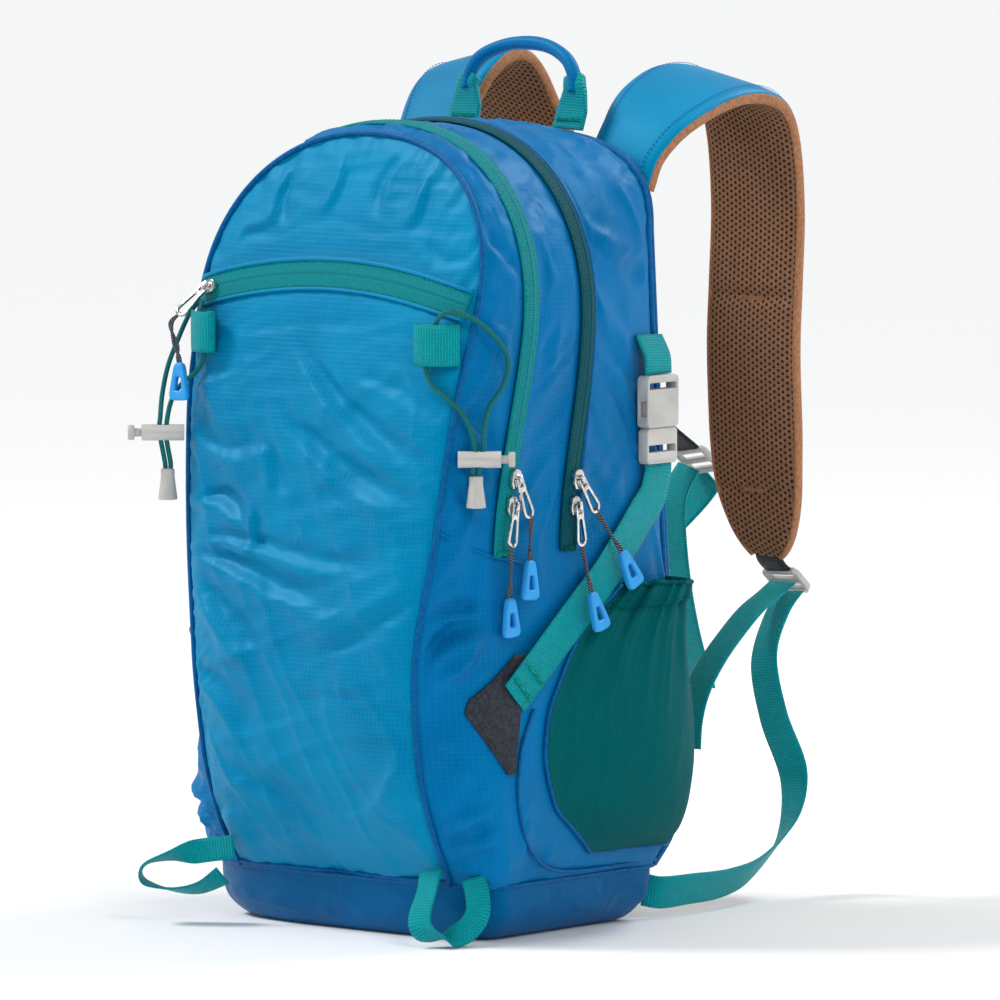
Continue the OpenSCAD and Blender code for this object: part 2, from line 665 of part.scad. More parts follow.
// Two strands: each starts at the keeper and ends in the bell
RIGHT_A = [
    [92, -97, 364], [95, -96.5, 378], [102, -94, 384], [112, -85, 381], [120, -72, 369],
    [123, -63, 355], [122, -66, 340], [119, -76, 326], [120, -82, 312], [120.5, -83.7, 296]
];
RIGHT_B = [
    [88, -98.5, 360], [89, -98.5, 348], [94, -98.5, 339], [102, -96, 333], [110, -90, 323],
    [115.5, -87.5, 310], [117.5, -86.3, 296]
];
LEFT_A = [
    [-92, -97, 364], [-93, -96.5, 376.5], [-95.5, -92, 381], [-103, -87.5, 380.5],
    [-111, -87, 372], [-115, -92, 358], [-117, -99, 342], [-115.5, -106, 326],
    [-112.5, -111.5, 312], [-111.5, -113.3, 302]
];
LEFT_B = [
    [-88, -98.5, 360], [-89.5, -98, 348], [-96, -97, 339], [-104, -102, 331], [-108, -107, 320],
    [-108.5, -110.7, 302]
];
function to_bell(points, bell, side) =
    concat(points, [bell + side * 1.7 + [0, 0, 4], bell + side * 1.6 + [0, 0, 0.4]]);
module strands(a, b, bell, axis) {
    color(TEAL)
        for (pair = [[a, 1], [b, -1]])
            cord(smooth(to_bell(pair[0], bell, axis * pair[1]), 2), [0.3, 1, 0.1], bungee_d);
}
barrel_l = 26;
barrel_r = 5;
stem_r = 2.5;
button_l = 4;
button_travel = 4;
// Barrel along local Z with two cord holes across it and a bore for the button
module cord_lock(p, axis) {
    color(GREY) at(p, axis, [0, 0, 1]) difference() {
        translate([0, 0, -barrel_l / 2]) cylinder(r = barrel_r, h = barrel_l, $fn = 40);
        for (z = [-2, 2])
            translate([-barrel_r - 1, 0, z])
            rotate([0, 90, 0])
            cylinder(r = bungee_d / 2 + 0.3, h = 2 * barrel_r + 2, $fn = 24);
        translate([0, 0, 5.5]) cylinder(r = stem_r + 0.3, h = barrel_l, $fn = 32);
    }
}
module lock_button(p, axis) {
    color(GREY) at(p, axis, [0, 0, 1]) {
        translate([0, 0, barrel_l / 2 + button_travel + 0.4])
            cylinder(r = barrel_r - 0.4, h = button_l, $fn = 40);
        translate([0, 0, barrel_l / 2 - 3]) cylinder(r = stem_r, h = 3.4 + button_travel, $fn = 32);
    }
}
module cord_end(bell) {
    color(GREY) translate(bell - [0, 0, 19]) difference() {
        union() {
            cylinder(r1 = 6, r2 = 4.2, h = 14, $fn = 36);
            translate([0, 0, 14]) cylinder(r = 4.2, h = 5, $fn = 36);
        }
        translate([0, 0, -1]) cylinder(r = 3.4, h = 4, $fn = 24);
    }
}

// ---------- right and left copies ----------

module side_pocket_right() { side_pocket(false); }
module side_pocket_left() { side_pocket(true); }
module compression_strap_right() { compression_strap(false); }
module compression_strap_left() { compression_strap(true); }
module buckle_web_right() { buckle_web(false); }
module buckle_web_left() { buckle_web(true); }
module buckle_socket_right() { buckle_socket(false); }
module buckle_socket_left() { buckle_socket(true); }
module buckle_plug_right() { buckle_plug(false); }
module buckle_plug_left() { buckle_plug(true); }
module strap_pad_right() { strap_pad(PAD_RIGHT, false); }
module strap_pad_left() { strap_pad(PAD_LEFT, true); }
module strap_tab_right() { strap_tab(PAD_RIGHT, LOCK_RIGHT, RUN_RIGHT); }
module strap_tab_left() { strap_tab(PAD_LEFT, LOCK_LEFT, RUN_LEFT); }
module ladder_lock_right() { ladder_lock(LOCK_RIGHT, RUN_RIGHT); }
module ladder_lock_left() { ladder_lock(LOCK_LEFT, RUN_LEFT); }
module anchor_web_right() { anchor_web(ANCHOR_RIGHT); }
module anchor_web_left() { anchor_web(ANCHOR_LEFT); }
module web_tail_right() { web_tail(TAIL_RIGHT); }
module web_tail_left() { web_tail(TAIL_LEFT); }
module gear_loop_right() { gear_loop(GEAR_RIGHT, GEAR_RIGHT_SIDES); }
module gear_loop_left() { gear_loop(GEAR_LEFT, GEAR_LEFT_SIDES); }
module bungee_keeper_right() { bungee_keeper(false); }
module bungee_keeper_left() { bungee_keeper(true); }
module bungee_cord_right() { strands(RIGHT_A, RIGHT_B, BELL_RIGHT, lock_axis_right); }
module bungee_cord_left() { strands(LEFT_A, LEFT_B, BELL_LEFT, lock_axis_left); }
module cord_lock_right() { cord_lock(LOCK_MID_RIGHT, lock_axis_right); }
module cord_lock_left() { cord_lock(LOCK_MID_LEFT, lock_axis_left); }
module lock_button_right() { lock_button(LOCK_MID_RIGHT, lock_axis_right); }
module lock_button_left() { lock_button(LOCK_MID_LEFT, lock_axis_left); }
module cord_end_right() { cord_end(BELL_RIGHT); }
module cord_end_left() { cord_end(BELL_LEFT); }

main_compartment();
front_compartment();
front_pocket();
base_panel();
back_panel();
frame_sheet();
side_pocket_right();
side_pocket_left();
main_zip_tape();
front_zip_tape();
pocket_zip_tape();
front_slider_upper();
front_slider_lower();
main_slider_upper();
main_slider_lower();
pocket_slider();
front_puller_upper();
front_puller_lower();
main_puller_upper();
main_puller_lower();
pocket_puller();
front_grip_upper();
front_grip_lower();
main_grip_upper();
main_grip_lower();
pocket_grip();
compression_strap_right();
compression_strap_left();
buckle_web_right();
buckle_web_left();
buckle_socket_right();
buckle_socket_left();
buckle_plug_right();
buckle_plug_left();
anchor_patches();
handle_grip();
handle_tabs();
strap_pad_right();
strap_pad_left();
strap_tab_right();
strap_tab_left();
ladder_lock_right();
ladder_lock_left();
anchor_web_right();
anchor_web_left();
web_tail_right();
web_tail_left();
gear_loop_right();
gear_loop_left();
bungee_keeper_right();
bungee_keeper_left();
bungee_cord_right();
bungee_cord_left();
cord_lock_right();
cord_lock_left();
lock_button_right();
lock_button_left();
cord_end_right();
cord_end_left();
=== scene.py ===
"""Looks of a hiking daypack: cloth, padding, webbing, zips, elastic cords and fittings.

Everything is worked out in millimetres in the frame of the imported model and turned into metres
when a mesh is made: +X to the wearer's right, -Y out of the front panel, +Z up.
"""

import math

import bmesh
import bpy
import numpy as np
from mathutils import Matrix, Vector, noise


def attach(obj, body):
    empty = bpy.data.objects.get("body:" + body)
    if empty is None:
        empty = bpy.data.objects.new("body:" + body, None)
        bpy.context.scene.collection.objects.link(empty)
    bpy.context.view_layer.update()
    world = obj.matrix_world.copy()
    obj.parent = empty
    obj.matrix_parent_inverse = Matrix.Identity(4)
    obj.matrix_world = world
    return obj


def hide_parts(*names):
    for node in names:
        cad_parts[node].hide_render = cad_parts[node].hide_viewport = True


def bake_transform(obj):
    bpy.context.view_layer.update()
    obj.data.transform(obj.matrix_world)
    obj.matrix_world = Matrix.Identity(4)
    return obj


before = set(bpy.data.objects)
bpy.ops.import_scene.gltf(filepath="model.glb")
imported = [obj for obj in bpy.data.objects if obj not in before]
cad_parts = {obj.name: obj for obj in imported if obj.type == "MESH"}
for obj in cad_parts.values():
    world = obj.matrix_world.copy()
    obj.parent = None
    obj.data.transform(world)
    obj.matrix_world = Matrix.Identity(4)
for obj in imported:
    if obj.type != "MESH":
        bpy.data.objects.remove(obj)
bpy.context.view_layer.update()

MM = 0.001
SCENE = bpy.context.scene
SCENE.view_settings.view_transform = "Standard"
SIDES = (("right", 1), ("left", -1))


# ---------- camera ----------

CAMERA_AZIMUTH = math.radians(40)
CAMERA_ELEVATION = math.radians(5.25)
CAMERA_DISTANCE = 6.0
CAMERA_LENS = 352
ORBIT_HEIGHT = 0.245
AIM_RIGHT, AIM_UP = 0.050, 0.259


def add_object(name, data):
    """Puts an object into the scene."""
    made = bpy.data.objects.new(name, data)
    SCENE.collection.objects.link(made)
    return made


def aim(place, target):
    """Turn of a camera or lamp that stands at a place and looks at a target."""
    return (Vector(target) - Vector(place)).to_track_quat("-Z", "Y").to_euler()


def make_camera():
    """Camera at the photograph's angle, far off with a long lens, aimed so that it needs no shift."""
    back = Vector((
        math.sin(CAMERA_AZIMUTH) * math.cos(CAMERA_ELEVATION),
        -math.cos(CAMERA_AZIMUTH) * math.cos(CAMERA_ELEVATION),
        math.sin(CAMERA_ELEVATION),
    ))
    right = Vector((math.cos(CAMERA_AZIMUTH), math.sin(CAMERA_AZIMUTH), 0))
    place = Vector((0, 0, ORBIT_HEIGHT)) + back * CAMERA_DISTANCE
    target = right * AIM_RIGHT + Vector((0, 0, AIM_UP))
    data = bpy.data.cameras.new("camera")
    data.lens = CAMERA_LENS
    data.sensor_width = 36
    data.clip_end = 30
    camera = add_object("camera", data)
    camera.location = place
    camera.rotation_euler = aim(place, target)
    SCENE.camera = camera


make_camera()


# ---------- curves and surfaces ----------

def pchip(knots, values, at):
    """Smooth curve through values at knots that never overshoots them."""
    knots, values, at = (np.asarray(v, float) for v in (knots, values, at))
    step = np.diff(knots)
    tail = (1,) * (values.ndim - 1)
    slope = np.diff(values, axis=0) / step.reshape((-1,) + tail)
    tangent = np.empty_like(values)
    tangent[0], tangent[-1] = slope[0], slope[-1]
    before, after = slope[:-1], slope[1:]
    same = before * after > 0
    tangent[1:-1] = np.where(same, 2 * before * after / np.where(same, before + after, 1), 0)
    i = np.clip(np.searchsorted(knots, at, side="right") - 1, 0, len(step) - 1)
    t = np.clip((at - knots[i]) / step[i], 0, 1).reshape(at.shape + tail)
    h = step[i].reshape(at.shape + tail)
    return (
        (2 * t**3 - 3 * t**2 + 1) * values[i] + (t**3 - 2 * t**2 + t) * h * tangent[i]
        + (3 * t**2 - 2 * t**3) * values[i + 1] + (t**3 - t**2) * h * tangent[i + 1]
    )


def table(rows, at):
    """Smooth look-up in a list of [place, value]."""
    rows = np.asarray(rows, float)
    return pchip(rows[:, 0], rows[:, 1], at)


def catmull(points, steps):
    """Smooth route through given points, with steps between neighbours."""
    p = np.asarray(points, float)
    p = np.vstack([p[:1], p, p[-1:]])
    t = np.linspace(0, 1, steps, endpoint=False)[:, None]
    out = []
    for a, b, c, d in zip(p, p[1:], p[2:], p[3:]):
        out.append(0.5 * (2 * b + (c - a) * t + (2 * a - 5 * b + 4 * c - d) * t**2
                          + (3 * b - a - 3 * c + d) * t**3))
    return np.vstack(out + [p[-1:]])


def lengths(route):
    """Length along a route at each of its points."""
    return np.concatenate([[0], np.cumsum(np.linalg.norm(np.diff(route, axis=0), axis=1))])


def read_along(at, run, values):
    """Values known at the points of a route, read off at other lengths along it."""
    return np.stack([np.interp(at, run, values[:, k]) for k in range(3)], axis=1)


def resampled(route, sides, spacing):
    """A route and its width directions with points about spacing apart."""
    route = np.asarray(route, float)
    run = lengths(route)
    at = np.linspace(0, run[-1], max(3, int(run[-1] / spacing) + 1))
    return read_along(at, run, route), read_along(at, run, np.asarray(sides, float))


def resample(route, spacing):
    """The same route with points about spacing apart."""
    return resampled(route, route, spacing)[0]


def unit(v):
    """The direction of a vector, with length 1."""
    v = np.asarray(v, float)
    return v / np.linalg.norm(v)


def unit_rows(v):
    """The direction of each row, with length 1."""
    return v / np.linalg.norm(v, axis=1, keepdims=True)


def directions(route):
    """Unit tangent at each point of a route."""
    return unit_rows(np.gradient(route, axis=0))


def ease(low, high, x):
    """0 below low, 1 above high and smooth between them."""
    t = np.clip((np.asarray(x, float) - low) / (high - low), 0, 1)
    return t * t * (3 - 2 * t)


def flip(points):
    """Mirrors points to the other side of the bag."""
    return np.asarray(points, float) * (-1, 1, 1)


def placer(sign):
    """What puts points made for the right side on the side of a sign."""
    return (lambda p: p) if sign > 0 else flip


def noise_at(points, scale, seed):
    """Smooth noise between about -1 and 1 with features of the given size."""
    shift = Vector((seed * 7.13, seed * 3.71, seed * 5.37))
    flat = np.asarray(points, float).reshape(-1, 3) / scale
    values = np.fromiter((noise.noise(Vector(p) + shift) for p in flat), float, len(flat))
    return values.reshape(np.shape(points)[:-1])


def folds(points, direction, length, width, seed):
    """Soft creases that run along a direction: -1 in the valleys, 1 on sharp crests."""
    d = unit(direction)
    run = np.asarray(points, float) @ d
    along = run[..., None] * d
    stretched = along / length + (points - along) / width
    value = noise_at(stretched, 1, seed)
    crest = 1 - np.minimum(1, np.abs(value) * 3.2)
    return 0.55 * value * 1.6 + 0.75 * crest**1.5 - 0.2


def outward_normals(grid, middle):
    """Unit normals of a grid that point away from a middle."""
    n = np.cross(np.gradient(grid, axis=1), np.gradient(grid, axis=0))
    n /= np.maximum(np.linalg.norm(n, axis=2, keepdims=True), 1e-9)
    inward = np.sum(n * (grid - middle), axis=2) < 0
    n[inward] *= -1
    return n


# ---------- meshes ----------

def add_piece(name, points, faces, material, body="bag", weave=None, replaces=(), slots=None):
    """Makes a mesh piece from millimetre points and puts it on a body.

    weave holds each point's place on the cloth in millimetres, which the materials read.
    material may be a list, and slots then gives each face's index in it.
    """
    mesh = bpy.data.meshes.new(name)
    mesh.from_pydata((np.asarray(points, float) * MM).tolist(), [], [list(f) for f in faces])
    if weave is not None:
        attribute = mesh.attributes.new("weave", "FLOAT_VECTOR", "POINT")
        attribute.data.foreach_set("vector", np.asarray(weave, float).ravel())
    for m in material if isinstance(material, (list, tuple)) else [material]:
        mesh.materials.append(m)
    if slots is not None:
        mesh.polygons.foreach_set("material_index", np.asarray(slots, np.int32))
    mesh.polygons.foreach_set("use_smooth", [True] * len(mesh.polygons))
    mesh.update()
    piece = add_object(name, mesh)
    if body:
        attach(piece, body)
    if replaces:
        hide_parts(*([replaces] if isinstance(replaces, str) else replaces))
    return piece


def grid_faces(rows, columns, start=0, wrap=False, turned=False):
    """Quads between the points of a grid, numbered from start."""
    faces = []
    for j in range(rows - 1):
        for i in range(columns if wrap else columns - 1):
            k, n = start + j * columns + i, start + j * columns + (i + 1) % columns
            face = (k, n, n + columns, k + columns)
            faces.append(face[::-1] if turned else face)
    return faces


def rim_of(rows, columns):
    """Numbers of a grid's border points, in order all the way round."""
    return (
        [j * columns for j in range(rows)] + [(rows - 1) * columns + i for i in range(1, columns)]
        + [j * columns + columns - 1 for j in range(rows - 2, -1, -1)] + list(range(columns - 2, 0, -1))
    )


def sheet_piece(name, grid, material, weave, thickness=0, inward=None, **where):
    """A grid of points as a sheet of cloth; with a thickness it gets a back and closed edges."""
    rows, columns = grid.shape[:2]
    points = grid.reshape(-1, 3)
    weave = weave.reshape(-1, 3)
    faces = grid_faces(rows, columns)
    if thickness:
        n = rows * columns
        back = (grid + inward * thickness).reshape(-1, 3)
        points, weave = np.vstack([points, back]), np.vstack([weave, weave])
        faces += grid_faces(rows, columns, n, turned=True)
        rim = rim_of(rows, columns)
        faces += [(a, b, b + n, a + n) for a, b in zip(rim, rim[1:] + rim[:1])]
    return add_piece(name, points, faces, material, weave=weave, **where)


def cloth_lengths(grid):
    """Place of each grid point on the cloth: millimetres down and across it."""
    down = np.linalg.norm(np.diff(grid, axis=0), axis=2).mean(axis=1)
    across = np.linalg.norm(np.diff(grid, axis=1), axis=2).mean(axis=0)
    v = np.concatenate([[0], np.cumsum(down)])
    u = np.concatenate([[0], np.cumsum(across)])
    return np.stack(np.broadcast_arrays(v[:, None], u[None, :], np.zeros(1)), axis=2)


def frames(route, sides):
    """Width and outward directions at each point of a route."""
    t = directions(route)
    s = unit_rows(sides - t * np.sum(sides * t, axis=1, keepdims=True))
    return s, np.cross(t, s)


def sweep(name, route, sides, section, material, scale=None, slots=None, turned=False, **where):
    """Sweeps a closed section, points of across and outward, along a route and closes its ends."""
    section = np.asarray(section, float)
    s, n = frames(route, np.broadcast_to(np.asarray(sides, float), route.shape))
    if scale is None:
        scale = np.ones((len(route), 2))
    rings = (
        route[:, None] + s[:, None] * (section[None, :, :1] * scale[:, None, :1])
        + n[:, None] * (section[None, :, 1:] * scale[:, None, 1:])
    )
    run = lengths(route)
    weave = np.stack(np.broadcast_arrays(
        run[:, None], section[None, :, 0] * scale[:, None, 0], section[None, :, 1]), axis=2)
    rows, columns = rings.shape[:2]
    faces = grid_faces(rows, columns, wrap=True, turned=turned)
    ends = [list(range(columns)), list(range(rows * columns - 1, (rows - 1) * columns - 1, -1))]
    faces += [e if turned else e[::-1] for e in ends]
    face_slots = None
    if slots is not None:
        face_slots = [slots[i] for _ in range(rows - 1) for i in range(columns)] + [slots[0]] * 2
    return add_piece(name, rings.reshape(-1, 3), faces, material, weave=weave.reshape(-1, 3),
                     slots=face_slots, **where)


def circle(r, count):
    """Points round a circle."""
    a = np.linspace(0, 2 * math.pi, count, endpoint=False)
    return np.stack([np.cos(a), np.sin(a)], axis=1) * r


def webbing_section(width, thick):
    """Woven webbing: flat faces, rounded selvedges and a slight crown."""
    x = np.linspace(-1, 1, 9)
    half = thick / 2
    crown = half * (1 - 0.35 * np.abs(x) ** 6)
    top = np.stack([x * width / 2, crown], axis=1)
    bottom = np.stack([-x * width / 2, -crown], axis=1)
    return np.vstack([top, bottom])[::-1]


def ribbon(name, route, sides, width, thick, material, **where):
    """Webbing along a route."""
    return sweep(name, route, sides, webbing_section(width, thick), material, **where)


def tube(name, route, d, material, reference=(0.3, 1, 0.1), count=12, **where):
    """Round cord, piping or thread along a route."""
    route = np.asarray(route, float)
    sides = np.cross(directions(route), np.asarray(reference, float))
    return sweep(name, route, sides, circle(d / 2, count), material, **where)


# A stitch is a short thread with six sides: share of its length and of its thickness at each ring
STITCH_D, STITCH_SIDES = 0.55, 6
STITCH_RINGS = ((-0.5, 0.35), (-0.3, 1), (0.3, 1), (0.5, 0.35))


def stitch_rows(name, routes, material, normals, pitch=3.0, length=2.1, **where):
    """Rows of thread stitches that lie on a surface along each of the routes."""
    points, faces = [], []
    for route, up in zip(routes, normals):
        route = np.asarray(route, float)
        up = np.broadcast_to(np.asarray(up, float), route.shape)
        run = lengths(route)
        at = np.arange(pitch / 2, run[-1], pitch)
        for c, t, n in zip(*(read_along(at, run, v) for v in (route, directions(route), up))):
            t = unit(t)
            s = unit(np.cross(t, n))
            n = np.cross(s, t)
            base = len(points)
            for place, size in STITCH_RINGS:
                for a in range(STITCH_SIDES):
                    angle = a * 2 * math.pi / STITCH_SIDES
                    points.append(c + t * place * length
                                  + (s * math.cos(angle) + n * math.sin(angle)) * STITCH_D / 2 * size)
            faces += grid_faces(len(STITCH_RINGS), STITCH_SIDES, base, wrap=True)
            last = len(points) - STITCH_SIDES
            faces += [tuple(range(base + STITCH_SIDES - 1, base - 1, -1)), tuple(range(last, len(points)))]
    return add_piece(name, points, faces, material, **where)


def bar_tack(name, centre, across, out, width, material, body="bag", rise=0.5):
    """Dense zigzag stitching that holds the end of a strap."""
    across, out = unit(across), unit(out)
    run = np.cross(out, across)
    count = int(width / 0.9)
    zigzag = [
        np.asarray(centre, float) + out * rise + across * width * (k / count - 0.5)
        + run * (1.6 if k % 2 else -1.6) for k in range(count + 1)
    ]
    route = resample(np.array(zigzag), 0.6)
    return tube(name, route, 0.7, material, reference=out, count=6, body=body)


# ---------- materials ----------

def new_material(name, **values):
    """A Principled material whose constants sit on the shader's own sockets."""
    material = bpy.data.materials.new(name)
    material.use_nodes = True
    tree = material.node_tree
    tree.nodes.clear()
    shader = tree.nodes.new("ShaderNodeBsdfPrincipled")
    output = tree.nodes.new("ShaderNodeOutputMaterial")
    tree.links.new(shader.outputs[0], output.inputs[0])
    for socket, value in values.items():
        shader.inputs[socket.replace("_", " ")].default_value = value
    return material, tree, shader


def put(tree, socket, value):
    """Links a node's output to a socket, or sets the socket to a constant."""
    if hasattr(value, "links"):
        tree.links.new(value, socket)
    else:
        socket.default_value = value


def calc(tree, operation, *values):
    """Arithmetic on node outputs and constants."""
    node = tree.nodes.new("ShaderNodeMath")
    node.operation = operation
    for socket, value in zip(node.inputs, values):
        put(tree, socket, value)
    return node.outputs[0]


def fade(tree, value, low, high, start=0.0, end=1.0):
    """Maps a value from low..high to start..end, smooth at both ends."""
    node = tree.nodes.new("ShaderNodeMapRange")
    node.interpolation_type = "SMOOTHSTEP"
    for socket, v in zip(node.inputs, (value, low, high, start, end)):
        put(tree, socket, v)
    return node.outputs[0]


def blend_colours(tree, factor, a, b):
    """From colour a where factor is 0 to colour b where it is 1."""
    node = tree.nodes.new("ShaderNodeMix")
    node.data_type = "RGBA"
    put(tree, node.inputs[0], factor)
    put(tree, node.inputs[6], a)
    put(tree, node.inputs[7], b)
    return node.outputs[2]


def rgb(r, g, b):
    """Colour as seen on screen, 0 to 255, in the renderer's linear values."""
    def linear(v):
        v /= 255
        return v / 12.92 if v <= 0.04045 else ((v + 0.055) / 1.055) ** 2.4
    return (linear(r), linear(g), linear(b), 1)


def tinted(colour, gain, lift=0.0):
    """A colour made darker or lighter."""
    return tuple(min(1, c * gain + lift) for c in colour[:3]) + (1,)


def noise_value(tree, scale, detail=3):
    """Noise fixed to the piece, between 0 and 1."""
    node = tree.nodes.new("ShaderNodeTexNoise")
    node.inputs["Scale"].default_value = scale
    node.inputs["Detail"].default_value = detail
    place = tree.nodes.new("ShaderNodeTexCoord")
    tree.links.new(place.outputs["Object"], node.inputs["Vector"])
    return node.outputs["Fac"]


def weave_axes(tree):
    """Millimetres along, across and out of the cloth."""
    attribute = tree.nodes.new("ShaderNodeAttribute")
    attribute.attribute_name = "weave"
    split = tree.nodes.new("ShaderNodeSeparateXYZ")
    tree.links.new(attribute.outputs["Vector"], split.inputs[0])
    return split.outputs


def bump(tree, shader, height, depth_mm, strength):
    """Relief of a height between 0 and 1 that stands depth_mm proud."""
    node = tree.nodes.new("ShaderNodeBump")
    node.inputs["Strength"].default_value = strength
    node.inputs["Distance"].default_value = depth_mm * MM
    tree.links.new(height, node.inputs["Height"])
    tree.links.new(node.outputs[0], shader.inputs["Normal"])


RIPSTOP_CELL, RIPSTOP_LINE = 2.9, 0.34
MESH_PITCH = 3.3


def ripstop(name, base, light, dark, glint):
    """Coated nylon with a raised grid of thicker threads, coloured lighter as painted highlight, and soft
    creasing.
    """
    material, tree, shader = new_material(
        name, Roughness=0.46, Specular_IOR_Level=0.5, Specular_Tint=glint)
    along, across, _ = weave_axes(tree)
    threads = [fade(tree, calc(tree, "PINGPONG", v, RIPSTOP_CELL / 2),
                    RIPSTOP_LINE * 0.4, RIPSTOP_LINE, 1, 0) for v in (along, across)]
    grid = calc(tree, "MAXIMUM", *threads)
    fine = calc(tree, "MULTIPLY", calc(tree, "SINE", calc(tree, "MULTIPLY", along, 9.0)),
                calc(tree, "SINE", calc(tree, "MULTIPLY", across, 9.0)))
    mottle = noise_value(tree, 14, 4)
    tint = blend_colours(tree, fade(tree, mottle, 0.32, 0.68), dark, base)
    # Painted highlight: the grid threads are coloured towards the light colour.
    tint = blend_colours(tree, calc(tree, "MULTIPLY", grid, 0.30), tint, light)
    tree.links.new(tint, shader.inputs["Base Color"])
    crinkle = calc(tree, "MULTIPLY", noise_value(tree, 60, 3), 0.7)
    height = calc(tree, "ADD", calc(tree, "MULTIPLY", grid, 0.32), crinkle)
    height = calc(tree, "ADD", height, calc(tree, "MULTIPLY", fine, 0.05))
    bump(tree, shader, height, 0.5, 0.42)
    tree.links.new(fade(tree, mottle, 0.3, 0.7, 0.42, 0.54), shader.inputs["Roughness"])
    return material


def webbing(name, base, dark, pitch=0.85):
    """Flat woven strap with a herringbone of fine ribs, with painted shade in the grooves between them."""
    material, tree, shader = new_material(
        name, Roughness=0.5, Specular_IOR_Level=0.5, Specular_Tint=tinted(base, 0.9, 0.1))
    along, across, _ = weave_axes(tree)
    slant = calc(tree, "PINGPONG", across, 1.3)
    rib = calc(tree, "PINGPONG", calc(tree, "ADD", along, calc(tree, "MULTIPLY", slant, 0.7)), pitch)
    ridge = fade(tree, rib, 0, pitch * 0.8)
    warp = fade(tree, calc(tree, "PINGPONG", across, 0.42), 0, 0.3)
    height = calc(tree, "ADD", ridge, calc(tree, "MULTIPLY", warp, 0.35))
    fuzz = noise_value(tree, 240, 3)
    # Painted shade: the grooves between the ribs are coloured towards the dark colour, the depth of it
    # varying with the fuzz noise.
    shade = calc(tree, "MULTIPLY", height, fade(tree, fuzz, 0.2, 0.8, 0.6, 0.85))
    tree.links.new(blend_colours(tree, shade, dark, base), shader.inputs["Base Color"])
    bump(tree, shader, height, 0.35, 0.9)
    return material


def spacer_mesh(name, base, hole_shade):
    """Air mesh: a warp-knit face with a honeycomb of holes, which are coloured dark as painted shade."""
    material, tree, shader = new_material(name, Roughness=0.85, Specular_IOR_Level=0.15)
    along, across, _ = weave_axes(tree)
    turn = 2 * math.pi / MESH_PITCH
    waves = [calc(tree, "COSINE", calc(tree, "MULTIPLY", across, turn))]
    for sign in (1, -1):
        lean = calc(tree, "ADD", calc(tree, "MULTIPLY", across, turn / 2),
                    calc(tree, "MULTIPLY", along, sign * turn * math.sqrt(3) / 2))
        waves.append(calc(tree, "COSINE", lean))
    cells = calc(tree, "ADD", calc(tree, "ADD", waves[0], waves[1]), waves[2])
    thread = fade(tree, cells, 0.35, 1.5, 1, 0)
    fuzz = noise_value(tree, 320, 2)
    lit = blend_colours(tree, fade(tree, fuzz, 0.25, 0.75), base, tinted(base, 0.72))
    # Painted shade: the holes between the threads take the dark hole colour.
    tree.links.new(blend_colours(tree, thread, hole_shade, lit), shader.inputs["Base Color"])
    bump(tree, shader, calc(tree, "ADD", thread, calc(tree, "MULTIPLY", fuzz, 0.2)), 0.9, 1.0)
    return material


def knit(name, base, dark):
    """Stretch jersey with fine wales and painted shade between them."""
    material, tree, shader = new_material(
        name, Roughness=0.7, Specular_IOR_Level=0.3, Specular_Tint=(0.05, 0.6, 0.6, 1))
    along, across, _ = weave_axes(tree)
    wale = fade(tree, calc(tree, "PINGPONG", across, 0.6), 0, 0.5)
    course = fade(tree, calc(tree, "PINGPONG", along, 0.45), 0, 0.4)
    stitch = calc(tree, "MULTIPLY", wale, calc(tree, "ADD", calc(tree, "MULTIPLY", course, 0.5), 0.5))
    mottle = noise_value(tree, 20, 4)
    tint = blend_colours(tree, fade(tree, mottle, 0.3, 0.7, 0.55, 0.95), dark, base)
    # Painted shade: between the wales and courses the colour turns to the dark colour.
    tree.links.new(blend_colours(tree, calc(tree, "MULTIPLY", stitch, 0.5), dark, tint),
                   shader.inputs["Base Color"])
    bump(tree, shader, stitch, 0.3, 0.7)
    return material


def plain_cloth(name, base, dark, roughness=0.6):
    """Smooth coated cloth with faint threads, for piping, binding and zip garages."""
    material, tree, shader = new_material(
        name, Roughness=roughness, Specular_IOR_Level=0.5, Specular_Tint=tinted(base, 0.9, 0.1))
    thread = noise_value(tree, 420, 2)
    tree.links.new(blend_colours(tree, fade(tree, thread, 0.3, 0.7), dark, base),
                   shader.inputs["Base Color"])
    bump(tree, shader, calc(tree, "ADD", thread, noise_value(tree, 60, 2)), 0.3, 0.5)
    return material


def braided(name, base, dark):
    """Round braid: two sets of yarns that wind against each other, with painted shade where they dip."""
    material, tree, shader = new_material(name, Roughness=0.65, Specular_IOR_Level=0.25)
    along, x, y = weave_axes(tree)
    angle = calc(tree, "MULTIPLY", calc(tree, "ARCTAN2", y, x), 4)
    turns = [calc(tree, "SINE", calc(tree, "ADD", calc(tree, "MULTIPLY", along, 2.6 * sign), angle))
             for sign in (1, -1)]
    weft = fade(tree, calc(tree, "MULTIPLY", *turns), -0.6, 0.6)
    # Painted shade: the low places of the braid take the dark colour.
    tree.links.new(blend_colours(tree, weft, dark, base), shader.inputs["Base Color"])
    bump(tree, shader, weft, 0.25, 0.8)
    return material


def speckled(name, base, fleck):
    """Dark pull cord with light flecks in its braid."""
    material, tree, shader = new_material(name, Roughness=0.7, Specular_IOR_Level=0.3)
    along, x, y = weave_axes(tree)
    angle = calc(tree, "MULTIPLY", calc(tree, "ARCTAN2", y, x), 3)
    yarn = calc(tree, "SINE", calc(tree, "ADD", calc(tree, "MULTIPLY", along, 3.2), angle))
    tree.links.new(blend_colours(tree, fade(tree, yarn, 0.35, 0.8), base, fleck),
                   shader.inputs["Base Color"])
    bump(tree, shader, yarn, 0.2, 0.6)
    return material


